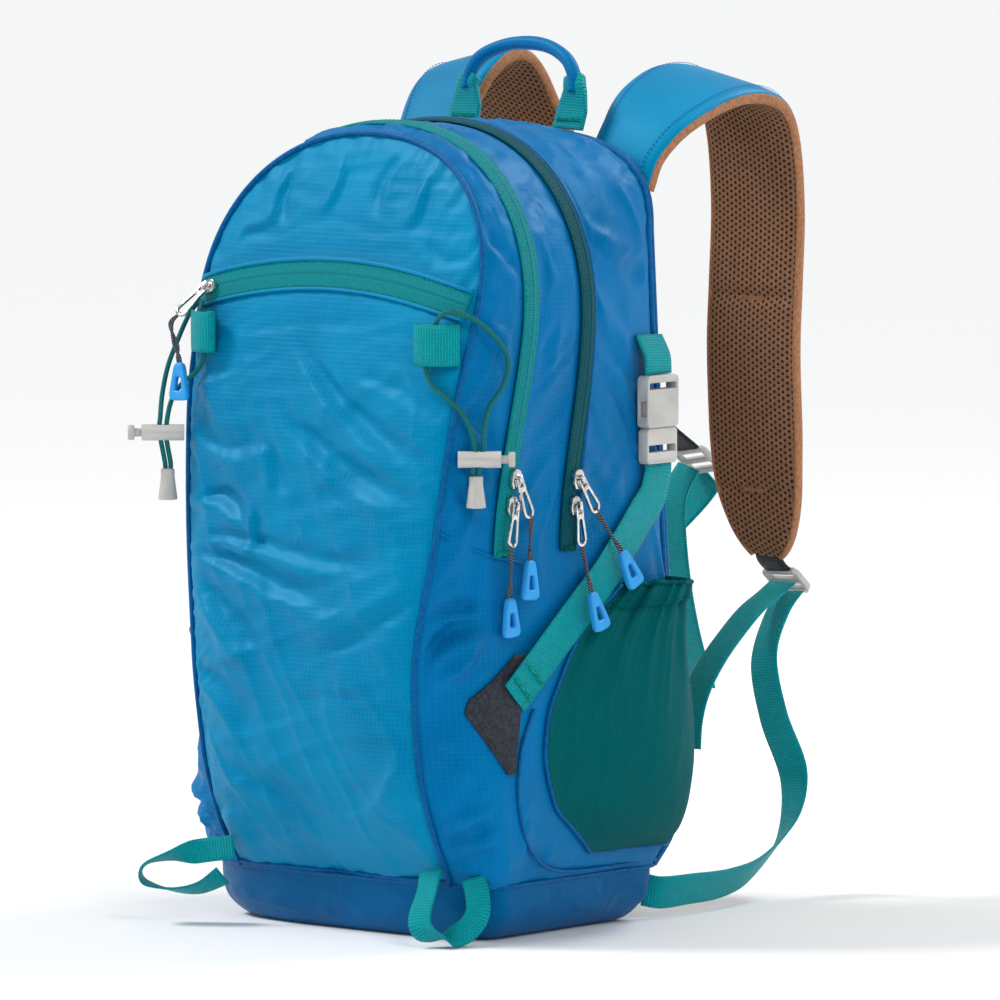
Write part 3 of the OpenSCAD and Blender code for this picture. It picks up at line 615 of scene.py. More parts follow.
def moulded(name, base, roughness=0.5, grain=900):
    """Moulded plastic or rubber with a fine spark-eroded grain and a lighter colour along its sharp edges.
    """
    material, tree, shader = new_material(name, Roughness=roughness)
    grain_value = noise_value(tree, grain, 2)
    # Sharp edges, found from their pointiness, are coloured lighter.
    edge_share = fade(tree, tree.nodes.new("ShaderNodeNewGeometry").outputs["Pointiness"], 0.5, 0.62)
    tone = blend_colours(tree, fade(tree, noise_value(tree, 60, 3), 0.3, 0.7), base, tinted(base, 0.86))
    edge_lightened = blend_colours(tree, calc(tree, "MULTIPLY", edge_share, 0.5), tone, tinted(base, 1.25, 0.03))
    tree.links.new(edge_lightened, shader.inputs["Base Color"])
    tree.links.new(fade(tree, grain_value, 0.3, 0.7, roughness - 0.06, roughness + 0.08),
                   shader.inputs["Roughness"])
    bump(tree, shader, grain_value, 0.06, 0.6)
    return material


def nickel(name):
    """Plated zinc with faint polishing marks."""
    material, tree, shader = new_material(name, Metallic=1.0, Roughness=0.2)
    marks = noise_value(tree, 260, 4)
    plate = blend_colours(tree, fade(tree, marks, 0.35, 0.65), rgb(196, 194, 190), rgb(228, 226, 222))
    tree.links.new(plate, shader.inputs["Base Color"])
    tree.links.new(fade(tree, marks, 0.3, 0.7, 0.14, 0.3), shader.inputs["Roughness"])
    bump(tree, shader, marks, 0.03, 0.4)
    return material


# Each ripstop's second colour is painted highlight on its grid threads, and its third is random mottle.
FRONT_CLOTH = ripstop("front_ripstop", rgb(0, 128, 174), rgb(6, 150, 196), rgb(0, 114, 162),
                      (0.03, 0.55, 0.82, 1))
SIDE_CLOTH = ripstop("side_ripstop", rgb(0, 108, 168), rgb(4, 128, 188), rgb(0, 96, 154),
                     (0.03, 0.50, 0.85, 1))
# The base's ripstop is the side cloth made darker: painted shade where the bottom curves under, away from
# the light.
BASE_CLOTH_PAINTED_SHADE = ripstop("base_ripstop_painted_shade", rgb(0, 88, 144), rgb(4, 106, 164), rgb(0, 76, 128),
                     (0.03, 0.42, 0.75, 1))
PIPING = plain_cloth("blue_piping", rgb(0, 96, 156), rgb(0, 78, 134), 0.45)
TEAL_WEB = webbing("teal_webbing", rgb(6, 164, 172), rgb(0, 110, 118))
TEAL_TAPE = webbing("teal_zip_tape", rgb(0, 140, 148), rgb(0, 112, 120), 0.8)
DARK_TAPE = webbing("dark_zip_tape", rgb(0, 86, 98), rgb(0, 60, 72), 0.8)
TEAL_THREAD = plain_cloth("teal_thread", rgb(10, 160, 150), rgb(0, 120, 112))
DARK_THREAD = plain_cloth("dark_teal_thread", rgb(0, 92, 90), rgb(0, 66, 66))
BLUE_THREAD = plain_cloth("blue_thread", rgb(8, 108, 190), rgb(0, 84, 164))
POCKET_KNIT = knit("pocket_knit", rgb(0, 112, 116), rgb(0, 80, 84))
# The air mesh's dark second colour is painted shade in its holes.
AIR_MESH = spacer_mesh("air_mesh", rgb(146, 108, 82), rgb(46, 32, 26))
RIM_CLOTH = plain_cloth("tan_binding", rgb(172, 124, 92), rgb(146, 102, 74), 0.75)
DARK_PATCH = plain_cloth("dark_patch", rgb(58, 62, 70), rgb(42, 46, 54), 0.55)
DARK_WEB = webbing("dark_webbing", rgb(58, 60, 66), rgb(30, 32, 36))
ELASTIC = braided("elastic_cord", rgb(0, 122, 122), rgb(0, 78, 80))
PULL_CORD = speckled("pull_cord", rgb(30, 36, 44), rgb(118, 126, 134))
GREY_PLASTIC = moulded("grey_plastic", rgb(184, 182, 178), 0.5)
BLUE_RUBBER = moulded("blue_rubber", rgb(22, 152, 228), 0.48, 700)
BLACK_PLASTIC = moulded("frame_plastic", rgb(40, 42, 46), 0.5)
NICKEL = nickel("nickel_plate")


# ---------- shape of the bag ----------

class Station:
    """An arched outline that leans with the zips and seams."""

    def __init__(self, top, arch_z, power, depth, width):
        self.top, self.arch_z, self.power = top, arch_z, power
        self.depth_table, self.width_table = depth, width

    def depth(self, z):
        """Place from front to back at a height."""
        return table(self.depth_table, z)

    def half_width(self, z):
        """Half of the outline's width at a height."""
        z = np.asarray(z, float)
        rise = np.clip((z - self.arch_z) / (self.top - self.arch_z), 0, 1)
        arch = float(table(self.width_table, self.arch_z)) * (1 - rise**self.power) ** (1 / self.power)
        return np.where(z > self.arch_z, arch, table(self.width_table, np.minimum(z, self.arch_z)))

    def half_outline(self, arch_steps=48, side_steps=120):
        """From the top of the arch down the right side to the base seam."""
        a = np.radians(np.linspace(90, 0, arch_steps, endpoint=False))
        x = float(table(self.width_table, self.arch_z)) * np.cos(a) ** (2 / self.power)
        z = self.arch_z + (self.top - self.arch_z) * np.sin(a) ** (2 / self.power)
        low = np.concatenate([
            np.linspace(self.arch_z, COMMON_Z, side_steps // 5, endpoint=False),
            np.linspace(COMMON_Z, BODY_FLOOR, side_steps - side_steps // 5),
        ])
        x = np.concatenate([x, self.half_width(low)])
        z = np.concatenate([z, low])
        return np.stack([x, self.depth(z), z], axis=1)

    def outline(self, **steps):
        """From the left end of the base seam over the top to its right end."""
        half = self.half_outline(**steps)
        return np.vstack([flip(half[::-1]), half[1:]])


BAG_H = 490
BASE_H = 34
BODY_FLOOR = BASE_H + 0.4
COMMON_Z = 320
BACK_Y = 88
FRONT = Station(
    BAG_H - 4, 385, 2.2,
    [[0, -56], [36, -70], [65, -86], [110, -101], [170, -107], [245, -100], [320, -91],
     [385, -74], [440, -58], [490, -41]],
    [[0, 70], [36, 84], [65, 86], [110, 86], [170, 88], [245, 98], [320, 105], [385, 110]])
FRONT_ZIP = Station(
    BAG_H, 370, 2.2, [[0, -36], [60, -58], [230, -62], [370, -38], [490, -24]],
    [[0, 100], [34, 114], [50, 121], [80, 122], [120, 120], [200, 116], [230, 115], [370, 118]])
MAIN_ZIP = Station(
    BAG_H, 365, 2.2, [[0, 2], [60, -8], [230, -10], [365, 13], [490, 22]],
    [[0, 96], [34, 115], [60, 124], [120, 128], [200, 126], [250, 123], [365, 121]])
REAR = Station(
    BAG_H + 1, 385, 2.4, [[0, 48], [490, 50]],
    [[0, 92], [34, 116], [60, 130], [110, 138], [200, 130], [300, 123], [385, 119]])
REAR_EDGE = Station(
    BAG_H - 2, 415, 2.6, [[0, 78], [490, 78]],
    [[0, 90], [34, 118], [60, 134], [110, 141], [200, 130], [300, 122], [415, 114]])
BACK = Station(
    BAG_H - 7, 425, 2.8, [[0, BACK_Y], [490, BACK_Y]],
    [[0, 84], [34, 112], [60, 128], [110, 134], [200, 123], [300, 116], [425, 109]])
STATIONS = [FRONT, FRONT_ZIP, MAIN_ZIP, REAR, REAR_EDGE, BACK]
# Distance back along the bag's side at each station
RUN = np.array([0, 40, 90, 148, 178, 190.0])
SPINE = np.array([0, 0, 240.0])


def bag_surface(runs):
    """Rows of points round the bag at distances back from the front seam."""
    return pchip(RUN, np.array([s.outline() for s in STATIONS]), runs)


def side_table():
    """Half width of the bag at every depth in SIDE_Y and height in SIDE_Z."""
    dense = np.linspace(RUN[0], RUN[-1], 160)
    rows = []
    for z in SIDE_Z:
        depths = np.array([float(s.depth(z)) for s in STATIONS])
        widths = np.array([float(s.half_width(z)) for s in STATIONS])
        smooth = np.interp(SIDE_Y, pchip(RUN, depths, dense), pchip(RUN, widths, dense))
        rows.append(np.maximum(smooth, np.interp(SIDE_Y, depths, widths)))
    return np.array(rows)


SIDE_Y_STEP, SIDE_Z_STEP = 1.0, 2.0
SIDE_Y = np.arange(-112, 91, SIDE_Y_STEP)
SIDE_Z = np.arange(30, 489, SIDE_Z_STEP)
SIDE_X = side_table()


def side_x(y, z):
    """Half width of the bag at a depth and a height."""
    i = min(max((y - SIDE_Y[0]) / SIDE_Y_STEP, 0), len(SIDE_Y) - 1.001)
    j = min(max((z - SIDE_Z[0]) / SIDE_Z_STEP, 0), len(SIDE_Z) - 1.001)
    a, b = int(i), int(j)
    u, v = i - a, j - b
    cell = SIDE_X[b:b + 2, a:a + 2]
    return float((cell[0, 0] * (1 - u) + cell[0, 1] * u) * (1 - v)
                 + (cell[1, 0] * (1 - u) + cell[1, 1] * u) * v)


def on_side(y, z, off):
    """Point that stands off the right side of the bag."""
    return np.array([side_x(y, z) + off, y, z])


def crease(across, up, start, end, width, height):
    """A fold that runs from start to end: a rounded crest with a valley along its lower side."""
    start, end = np.array(start, float), np.array(end, float)
    run = end - start
    size = np.linalg.norm(run)
    run /= size
    along = (across - start[0]) * run[0] + (up - start[1]) * run[1]
    away = (across - start[0]) * -run[1] + (up - start[1]) * run[0]
    away = away + 3.0 * np.sin(along / size * 5.0 + start[0])
    reach = ease(-0.12 * size, 0.3 * size, along) * ease(1.12 * size, 0.72 * size, along)
    spread = width * (0.65 + 0.5 * np.clip(along / size, 0, 1))
    crest = np.exp(-(away / spread) ** 2)
    lower_side = np.sign(run[0] + 1e-6)
    valley = np.exp(-((away + spread * 1.3 * lower_side) / (spread * 0.9)) ** 2)
    return height * reach * (crest - 0.6 * valley)


# What lies flat on the bag's sides, as depth and height: compression strap, patch, buckle and pocket
FLAT_LINES = [
    [(-58, 150), (-20, 187), (19, 218), (56, 252), (74, 300), (74, 366)],
    [(-84, 142), (-60, 122), (-52, 160)],
    [(38, 212), (0, 190), (-28, 140), (-22, 84), (14, 50), (86, 50)],
]


def sewn_down(grid):
    """0 under the things that hold the cloth flat and 1 away from them."""
    y, z = grid[..., 1], grid[..., 2]
    nearest = np.full(y.shape, 999.0)
    for line in FLAT_LINES:
        for (ya, za), (yb, zb) in zip(line, line[1:]):
            dy, dz = yb - ya, zb - za
            t = np.clip(((y - ya) * dy + (z - za) * dz) / (dy * dy + dz * dz), 0, 1)
            nearest = np.minimum(nearest, np.hypot(y - ya - t * dy, z - za - t * dz))
    return 0.06 + 0.94 * ease(13, 27, nearest)


def seam_pucker(distance, run, reach, seed):
    """Short wrinkles that a sewn edge draws into the cloth beside it."""
    line = np.stack(np.broadcast_arrays(run / 6.5, 0 * run + seed, distance / 40), axis=-1)
    return noise_at(line, 1, seed) * np.exp(-distance / reach)


# Folds of the cloth between front panel and front zip: start and end as depth and height, then the
# width and height of the fold
GUSSET_FOLDS = [
    [(-104, 178), (-56, 206), 6, -4.4], [(-102, 200), (-64, 218), 5, -3.4],
    [(-100, 160), (-62, 190), 5, 3.0], [(-92, 330), (-54, 288), 6, -2.6],
    [(-96, 290), (-60, 262), 5, 2.4], [(-52, 102), (-92, 56), 5, 4.0],
    [(-46, 84), (-80, 50), 4, 3.2], [(-98, 128), (-62, 112), 6, 2.4],
    [(-86, 392), (-46, 346), 6, 2.0], [(-64, 430), (-30, 404), 6, -2.2],
]


def front_gusset():
    """Cloth between the front panel's piping and the main zip."""
    runs = np.linspace(RUN[0], RUN[2], 64)
    grid = bag_surface(runs)
    normal = outward_normals(grid, SPINE + np.array([0, -30, 0]))
    weave = cloth_lengths(grid)
    from_zip = np.abs(runs - RUN[1])[:, None]
    from_front = runs[:, None]
    from_back = (RUN[2] - runs)[:, None]
    free = ease(8, 18, from_zip) * ease(0, 9, from_front) * ease(6, 16, from_back)
    around = weave[..., 1]
    relief = 2.6 * folds(grid, (0.2, 0.6, 1), 95, 19, 3) + 1.5 * folds(grid, (0.1, 1, 0.6), 50, 13, 5)
    for fold in GUSSET_FOLDS:
        relief = relief + 1.5 * crease(grid[..., 1], grid[..., 2], *fold)
    loose = sewn_down(grid)
    relief = relief * free * loose
    relief += 1.1 * seam_pucker(from_zip - 7 + 0 * around, around, 9, 2) * ease(7, 10, from_zip)
    relief += 1.3 * seam_pucker(from_front + 0 * around, around, 10, 8) * ease(0, 3, from_front) * loose
    belly = 2.2 * np.sin(np.clip(from_front / RUN[1], 0, 1) * math.pi) * loose
    sheet_piece("front_gusset", grid + normal * (relief + belly)[..., None], SIDE_CLOTH, weave,
                replaces="front_compartment")


# Folds of the main compartment's sides, given in the same way
BODY_FOLDS = [
    [(20, 396), (70, 330), 8, 2.6], [(28, 350), (76, 300), 7, 2.2], [(14, 300), (64, 236), 8, 2.4],
    [(24, 430), (74, 410), 7, 2.0], [(2, 236), (48, 196), 7, 2.0], [(74, 262), (30, 214), 7, 1.8],
    [(-2, 100), (24, 60), 7, 2.0], [(2, 170), (26, 96), 6, 1.6],
]


def main_body():
    """Main compartment from its zip to the edge of the back panel."""
    runs = np.linspace(RUN[2], RUN[5], 72)
    grid = bag_surface(runs)
    normal = outward_normals(grid, SPINE + np.array([0, 40, 0]))
    weave = cloth_lengths(grid)
    from_zip = (runs - RUN[2])[:, None]
    from_back = (RUN[5] - runs)[:, None]
    around = weave[..., 1]
    free = ease(9, 22, from_zip) * ease(2, 14, from_back)
    high = ease(420, 200, grid[..., 2])
    relief = (2.0 + 0.8 * high) * folds(grid, (0.1, -0.45, 1), 110, 22, 11)
    relief += 1.3 * folds(grid, (0, 1, 0.8), 50, 14, 14)
    for fold in BODY_FOLDS:
        relief = relief + 1.2 * crease(grid[..., 1], grid[..., 2], *fold)
    relief = relief * free * sewn_down(grid)
    relief += 1.2 * seam_pucker(from_back + 0 * around, around, 11, 17) * ease(0, 3, from_back)
    relief += 1.0 * seam_pucker(from_zip - 8 + 0 * around, around, 10, 19) * ease(8, 11, from_zip)
    sheet_piece("main_body", grid + normal * relief[..., None], SIDE_CLOTH, weave,
                replaces="main_compartment")


# ---------- front panel ----------

PANEL_MID_Z = 240
# How far the filled panel stands out from its seam, by share from its middle
SWELL = [[0, 12.2], [0.5, 11.5], [0.8, 9], [0.95, 4.6], [1, 0.4]]


def panel_share(x, z):
    """How far out a point of the front panel is: 0 in its middle and 1 on its seam."""
    rim = FRONT.outline()
    rim = np.vstack([rim, [[0, 0, BODY_FLOOR]]])
    angle = np.arctan2(rim[:, 0], rim[:, 2] - PANEL_MID_Z)
    order = np.argsort(angle)
    reach = np.hypot(rim[:, 0], rim[:, 2] - PANEL_MID_Z)[order]
    here = np.arctan2(x, z - PANEL_MID_Z)
    return np.hypot(x, z - PANEL_MID_Z) / np.interp(here, angle[order], reach, period=2 * math.pi)


ZIP_MID_Z, ZIP_DROP, ZIP_HALF = 402, 15, 105


def pocket_zip_z(x):
    """Height of the pocket zip, an arc that drops towards its ends."""
    radius = (ZIP_HALF**2 + ZIP_DROP**2) / (2 * ZIP_DROP)
    return ZIP_MID_Z - radius + np.sqrt(radius**2 - np.minimum(np.abs(x), ZIP_HALF + 6) ** 2)


def panel_y(x, z):
    """Depth of the smooth front panel, with its own swelling."""
    share = np.clip(panel_share(x, z), 0, 1)
    above = z - pocket_zip_z(x)
    fullness = 1 - 0.22 * ease(-2, 14, above)
    step = 1.4 * np.exp(-((above + 15) / 9) ** 2)
    return FRONT.depth(z) - table(SWELL, share) * fullness - step * ease(1, 0.93, share)


def coons(bottom, top, left, right):
    """Patch of quads between four edges; bottom and top run left to right, the others upwards."""
    s = np.linspace(0, 1, len(bottom))[None, :, None]
    t = np.linspace(0, 1, len(left))[:, None, None]
    ruled = (1 - t) * bottom[None] + t * top[None] + (1 - s) * left[:, None] + s * right[:, None]
    return ruled - ((1 - s) * (1 - t) * bottom[0] + s * (1 - t) * bottom[-1]
                    + (1 - s) * t * top[0] + s * t * top[-1])


# Folds of the front panel: start and end as across and height, then width and height of the fold
PANEL_FOLDS = [
    [(-13, 356), (86, 286), 7, -4.4], [(-20, 313), (84, 267), 8, -4.6], [(-89, 297), (-32, 300), 7, -3.0],
    [(-34, 300), (-12, 274), 6, -2.4], [(-85, 266), (-40, 259), 7, -4.0], [(-40, 260), (-28, 236), 5, -2.2],
    [(34, 344), (100, 322), 6, -2.0], [(-84, 240), (60, 233), 6, -3.2], [(-84, 229), (30, 209), 7, -4.0],
    [(-84, 212), (-24, 177), 9, -4.2], [(95, 218), (6, 184), 9, 3.0], [(-80, 166), (-36, 122), 9, -2.8],
    [(-68, 110), (0, 70), 9, -2.2], [(84, 120), (38, 58), 11, 2.6], [(-58, 462), (-50, 430), 5, -2.4],
    [(-16, 472), (-18, 436), 5, 2.2], [(24, 474), (20, 440), 5, -2.2], [(58, 462), (44, 432), 5, 2.2],
    [(96, 410), (66, 420), 5, -2.0], [(-84, 420), (-60, 440), 5, 2.0],
]


def front_panel():
    """Pillowed front of the bag with the creases of filled cloth hung from an arched seam."""
    half = FRONT.half_outline(arch_steps=60, side_steps=200)
    corner = 30
    right = resample(half[corner:][::-1], 2.2)
    top = resample(np.vstack([flip(half[:corner + 1][::-1]), half[1:corner + 1]]), 1.4)
    left = flip(right)
    bottom = np.linspace(left[0], right[0], len(top))
    grid = coons(bottom, top, left, right)
    x, z = grid[..., 0], grid[..., 2]
    share = np.clip(panel_share(x, z), 0, 1)
    grid[..., 1] = panel_y(x, z)
    edge = (1 - share) * np.hypot(x, z - PANEL_MID_Z) / np.maximum(share, 0.2)
    around = np.arctan2(x, z - PANEL_MID_Z) * 190
    flat = np.stack([x, 0 * x, z], axis=-1)
    from_zip = np.abs(z - pocket_zip_z(x))
    hold = ease(0, 12, edge) * ease(9, 24, from_zip)
    low = ease(420, 330, z)
    middle = np.exp(-((z - 285) / 75) ** 2)
    relief = 1.6 * folds(flat, (0.72, 0, -0.69), 120, 24, 21) * middle
    relief += 1.5 * folds(flat, (1, 0, 0.3), 95, 20, 23) * low
    relief += 1.3 * folds(flat, (0.5, 0, -1), 90, 22, 29) * low
    relief += 0.8 * folds(flat, (1, 0, 0.1), 40, 9, 31)
    for fold in PANEL_FOLDS:
        relief = relief + 1.25 * crease(x, z, *fold)
    relief *= hold
    relief += 2.3 * seam_pucker(edge, around, 16, 25) * ease(0, 4, edge)
    relief += 0.8 * seam_pucker(np.maximum(from_zip - 9, 0), x, 9, 27) * ease(8, 11, from_zip)
    grid[..., 1] -= relief
    weave = np.stack([z, x, 0 * x], axis=-1)
    sheet_piece("front_panel", grid, FRONT_CLOTH, weave, replaces="front_pocket")


def from_middle(line):
    """Directions from the bag's middle to the points of a line round it, with no depth."""
    return unit_rows(np.stack([line[:, 0], 0 * line[:, 0], line[:, 2] - PANEL_MID_Z], axis=1))


def seam_piping():
    """Corded seams round the front panel, behind the main zip and round the back."""
    rim = resample(FRONT.outline(), 4)
    tube("front_piping", rim + from_middle(rim) * 0.2 - np.array([0, 1.6, 0]), 3.4, PIPING)
    flap = resample(bag_surface(np.array([RUN[2] + 9.5]))[0], 4)
    keep = flap[:, 2] > 238
    tube("zip_flap_piping", flap[keep] + from_middle(flap)[keep] * 1.7, 3.6, PIPING)
    rear = resample(BACK.outline(), 4)
    tube("rear_piping", rear + from_middle(rear) * 0.6 + np.array([0, 0.4, 0]), 4, PIPING)
    low = np.stack([np.linspace(-84, 84, 60), np.zeros(60), np.full(60, 36.5)], axis=1)
    low[:, 1] = panel_y(low[:, 0], low[:, 2]) - 0.6
    tube("front_low_piping", low, 3.2, PIPING)


def level_ring(z):
    """Level outline of the bag at a height, front first and then round the right side."""
    front_y, front_w = float(FRONT.depth(z)), float(FRONT.half_width(z))
    right = np.array(
        [[0, front_y - 5], [front_w * 0.6, front_y - 4]]
        + [[float(s.half_width(z)), float(s.depth(z))] for s in STATIONS])
    run = np.concatenate([[0], np.cumsum(np.linalg.norm(np.diff(right, axis=0), axis=1))])
    right = pchip(run, right, np.linspace(0, run[-1], 120))
    back = np.linspace([right[-1][0], right[-1][1]], [0, right[-1][1]], 24)[1:]
    half = np.vstack([right, back])
    return np.vstack([half, (half * (-1, 1))[-2:0:-1]])


def gusset_seam():
    """Stitched dart that runs from the front seam to the end of the front zip, on both sides."""
    share = np.linspace(0, 1, 30)
    line = np.array([on_side(-100 + 54 * t, 252 - 21 * t - 3 * math.sin(math.pi * t), 1.2)
                     for t in share])
    for name, sign in SIDES:
        place = placer(sign)
        tube(f"gusset_dart_{name}", resample(place(line), 2), 1.8, SIDE_CLOTH)
        stitch_rows(f"gusset_dart_stitching_{name}", [place(line + np.array([0.6, 0, -2.4]))],
                    BLUE_THREAD, [place(np.array([1, -0.45, 0]))])


# Rounded edge of the base, from the floor up: share of the bag's outline, and height
BASE_EDGE = [[0.78, 0], [0.84, 0.6], [0.93, 7], [0.985, 18], [1.002, BASE_H + 1.5]]


def base_tray():
    """Rounded bottom of the bag, sagging a little under its load."""
    ring = level_ring(BASE_H)
    profile = pchip([0, 0.12, 0.35, 0.65, 1], BASE_EDGE, np.linspace(0, 1, 26))
    rows = [np.column_stack([ring * keep, np.full(len(ring), z)]) for keep, z in profile[::-1]]
    rows += [np.column_stack([ring * keep, np.zeros(len(ring))]) for keep in (0.6, 0.4, 0.2, 0.02)]
    grid = np.array(rows)
    normal = outward_normals(grid, np.array([0, 0, 30.0]))
    weave = cloth_lengths(grid)
    z = grid[..., 2]
    relief = folds(grid, (1, 0.3, 0.1), 60, 15, 41) * ease(3, 12, z) * ease(BASE_H, BASE_H - 8, z)
    grid = grid + normal * relief[..., None]
    grid[..., 2] = np.maximum(grid[..., 2], 0)
    rows, columns = grid.shape[:2]
    faces = grid_faces(rows, columns, wrap=True) + [tuple(range((rows - 1) * columns, rows * columns))]
    # The base is given the darker ripstop, which is painted shade.
    add_piece("base_tray", grid.reshape(-1, 3), faces, BASE_CLOTH_PAINTED_SHADE, weave=weave.reshape(-1, 3),
              replaces="base_panel")
    seam = np.column_stack([ring * 1.006, np.full(len(ring), BASE_H + 0.6)])
    seam = np.vstack([seam, seam[:1]])
    tube("base_seam", resample(seam, 4), 2.6, PIPING, reference=(0, 0.02, 1))


# ---------- padded back ----------

BACK_CHANNELS = (128, 262, 378)


def back_panel():
    """Air-mesh back with two long pads, a lumbar pad and the channels between them."""
    pad_y = BACK_Y + 2.4
    half = BACK.half_outline(arch_steps=60, side_steps=160)
    corner = 26
    right = resample(half[corner:][::-1], 3)
    top = resample(np.vstack([flip(half[:corner + 1][::-1]), half[1:corner + 1]]), 2)
    left = flip(right)
    grid = coons(np.linspace(left[0], right[0], len(top)), top, left, right)
    x, z = grid[..., 0], grid[..., 2]
    width = np.maximum(BACK.half_width(np.clip(z, BODY_FLOOR, BAG_H - 8)), 30)
    edge = np.minimum(ease(0, 14, width - np.abs(x)),
                      ease(BODY_FLOOR, 46, z) * ease(BAG_H - 7, BAG_H - 24, z))
    channel = ease(5, 13, np.abs(x))
    for height in BACK_CHANNELS:
        channel = channel * ease(3, 10, np.abs(z - height - 0.1 * np.abs(x)))
    lumbar = np.exp(-((z - 85) / 40) ** 2)
    thick = 2.0 + edge * (0.6 + 5.4 * channel + 1.0 * lumbar * channel)
    thick += 0.25 * noise_at(grid, 30, 51) * edge
    grid[..., 1] = pad_y + thick
    weave = np.stack([z, x, 0 * x], axis=-1)
    inward = np.zeros_like(grid)
    inward[..., 1] = -1
    piece = sheet_piece("back_pad", grid[:, ::-1], AIR_MESH, weave[:, ::-1], replaces="back_panel",
                        thickness=1.6, inward=inward[:, ::-1])
    rim = resample(BACK.outline(), 4) + np.array([0, 4.2, 0])
    tube("back_binding", rim * (0.992, 1, 1), 4.4, PIPING)


# ---------- zips ----------

def zip_section(width):
    """Two halves of tape that roll over the coil and meet in a groove."""
    x = np.array([-1, -0.96, -0.8, -0.45, -0.22, -0.07, 0, 0.07, 0.22, 0.45, 0.8, 0.96, 1])
    y = np.array([0.1, 0.45, 0.6, 0.75, 1.25, 1.2, 0.35, 1.2, 1.25, 0.75, 0.6, 0.45, 0.1])
    top = np.stack([x * width / 2, y], axis=1)
    bottom = np.stack([x[::-1] * width / 2, np.full(len(x), -0.6)], axis=1)
    return np.vstack([top, bottom])[::-1]


def lay_zip(name, route, side, out, width, tape):
    """Lays a zip along a route with its coil facing out, and gives its width directions."""
    s, n = frames(route, np.broadcast_to(side, route.shape))
    facing = 1 if np.sum(n * out) > 0 else -1
    section = zip_section(width) * (1, facing)
    sweep(name, route, side, section[::facing], tape, replaces=name + "_tape", turned=facing > 0)
    return s


ARCHED_ZIP_END_Z, ARCHED_ZIP_W, POCKET_ZIP_W = 234, 14, 18


def arched_zip(name, station, shift, tape, thread):
    """Zip tape that runs from one side over the top of the bag and down to the other."""
    width = ARCHED_ZIP_W
    dense = station.outline()
    dense = dense[dense[:, 2] >= ARCHED_ZIP_END_Z]
    route = resample(dense, 3) + np.array([0, shift, 0])
    rise = np.maximum(0, route[:, 2] - station.arch_z) * 1.4
    lift = unit_rows(np.stack([route[:, 0], 0 * route[:, 0], rise], axis=1))
    route = route + lift * 2.0
    side = np.array([0, 1, 0.1])
    s = lay_zip(name, route, side, lift, width, tape)
    rows = [route + s * (k * (width / 2 - 1.7)) + lift * 0.65 for k in (-1, 1)]
    stitch_rows(name + "_stitching", rows, thread, [lift, lift])
    for k, end in enumerate((route[0], route[-1])):
        out = lift[-k]
        bar_tack(f"{name}_tack_{k}", end + np.array([0, 0, 2.0]) + out * 1.1, side, out, width - 3,
                 thread)


def pocket_zip():
    """Curved zip across the front panel in a raised welt."""
    x = np.linspace(-ZIP_HALF - 1, ZIP_HALF + 1, 110)
    z = pocket_zip_z(x)
    y = panel_y(x, z) - 2.2
    route = np.stack([x, y, z], axis=1)
    s = lay_zip("pocket_zip", route, np.array([0, 0.32, 1]), np.array([0, -1, 0]), POCKET_ZIP_W,
                TEAL_TAPE)
    out = np.array([0, -1, 0.3])
    rows = [route + s * k + out * 0.7 for k in (-7.4, 7.4)]
    stitch_rows("pocket_zip_stitching", rows, TEAL_THREAD, [out, out])
    welt = route + s * 9.3 + out * 0.6
    tube("pocket_zip_hood", welt, 3.0, FRONT_CLOTH)
    tube("pocket_zip_sill", route - s * 9.3 + out * 0.2, 2.2, FRONT_CLOTH)


# ---------- side pockets ----------

POCKET_FLOOR, POCKET_TOP, POCKET_BACK_Y, POCKET_BULGE = 50, 212, 86, 23
POCKET_MIDDLE = np.array([60, 30, 130.0])
# By height: depth of the pocket's front edge, and share of its full bulge
POCKET_FRONT = [[50, 14], [66, -4], [83, -22], [115, -31], [137, -28], [158, -18], [182, -3],
                [193, 9], [212, 38]]
POCKET_FILL = [[50, 0.02], [62, 0.5], [80, 0.8], [110, 0.9], [212, 1]]


# Seam of the side panel round the pocket, as depth and height
PANEL_SEAM = [[-40, 142], [-50, 120], [-54, 92], [-48, 66], [-34, 50], [-12, 41], [24, 38.5],
              [84, 38.5]]


def pocket_point(u, z):
    """Point of the smooth pocket: u runs from its front edge, 0, to its back edge, 1."""
    front = float(table(POCKET_FRONT, z))
    y = front + (POCKET_BACK_Y - front) * u
    swell = POCKET_BULGE * math.sin(math.pi * u**1.8) ** 0.55 * float(table(POCKET_FILL, z))
    return on_side(y, z, 1.1 + max(swell, 1.6))


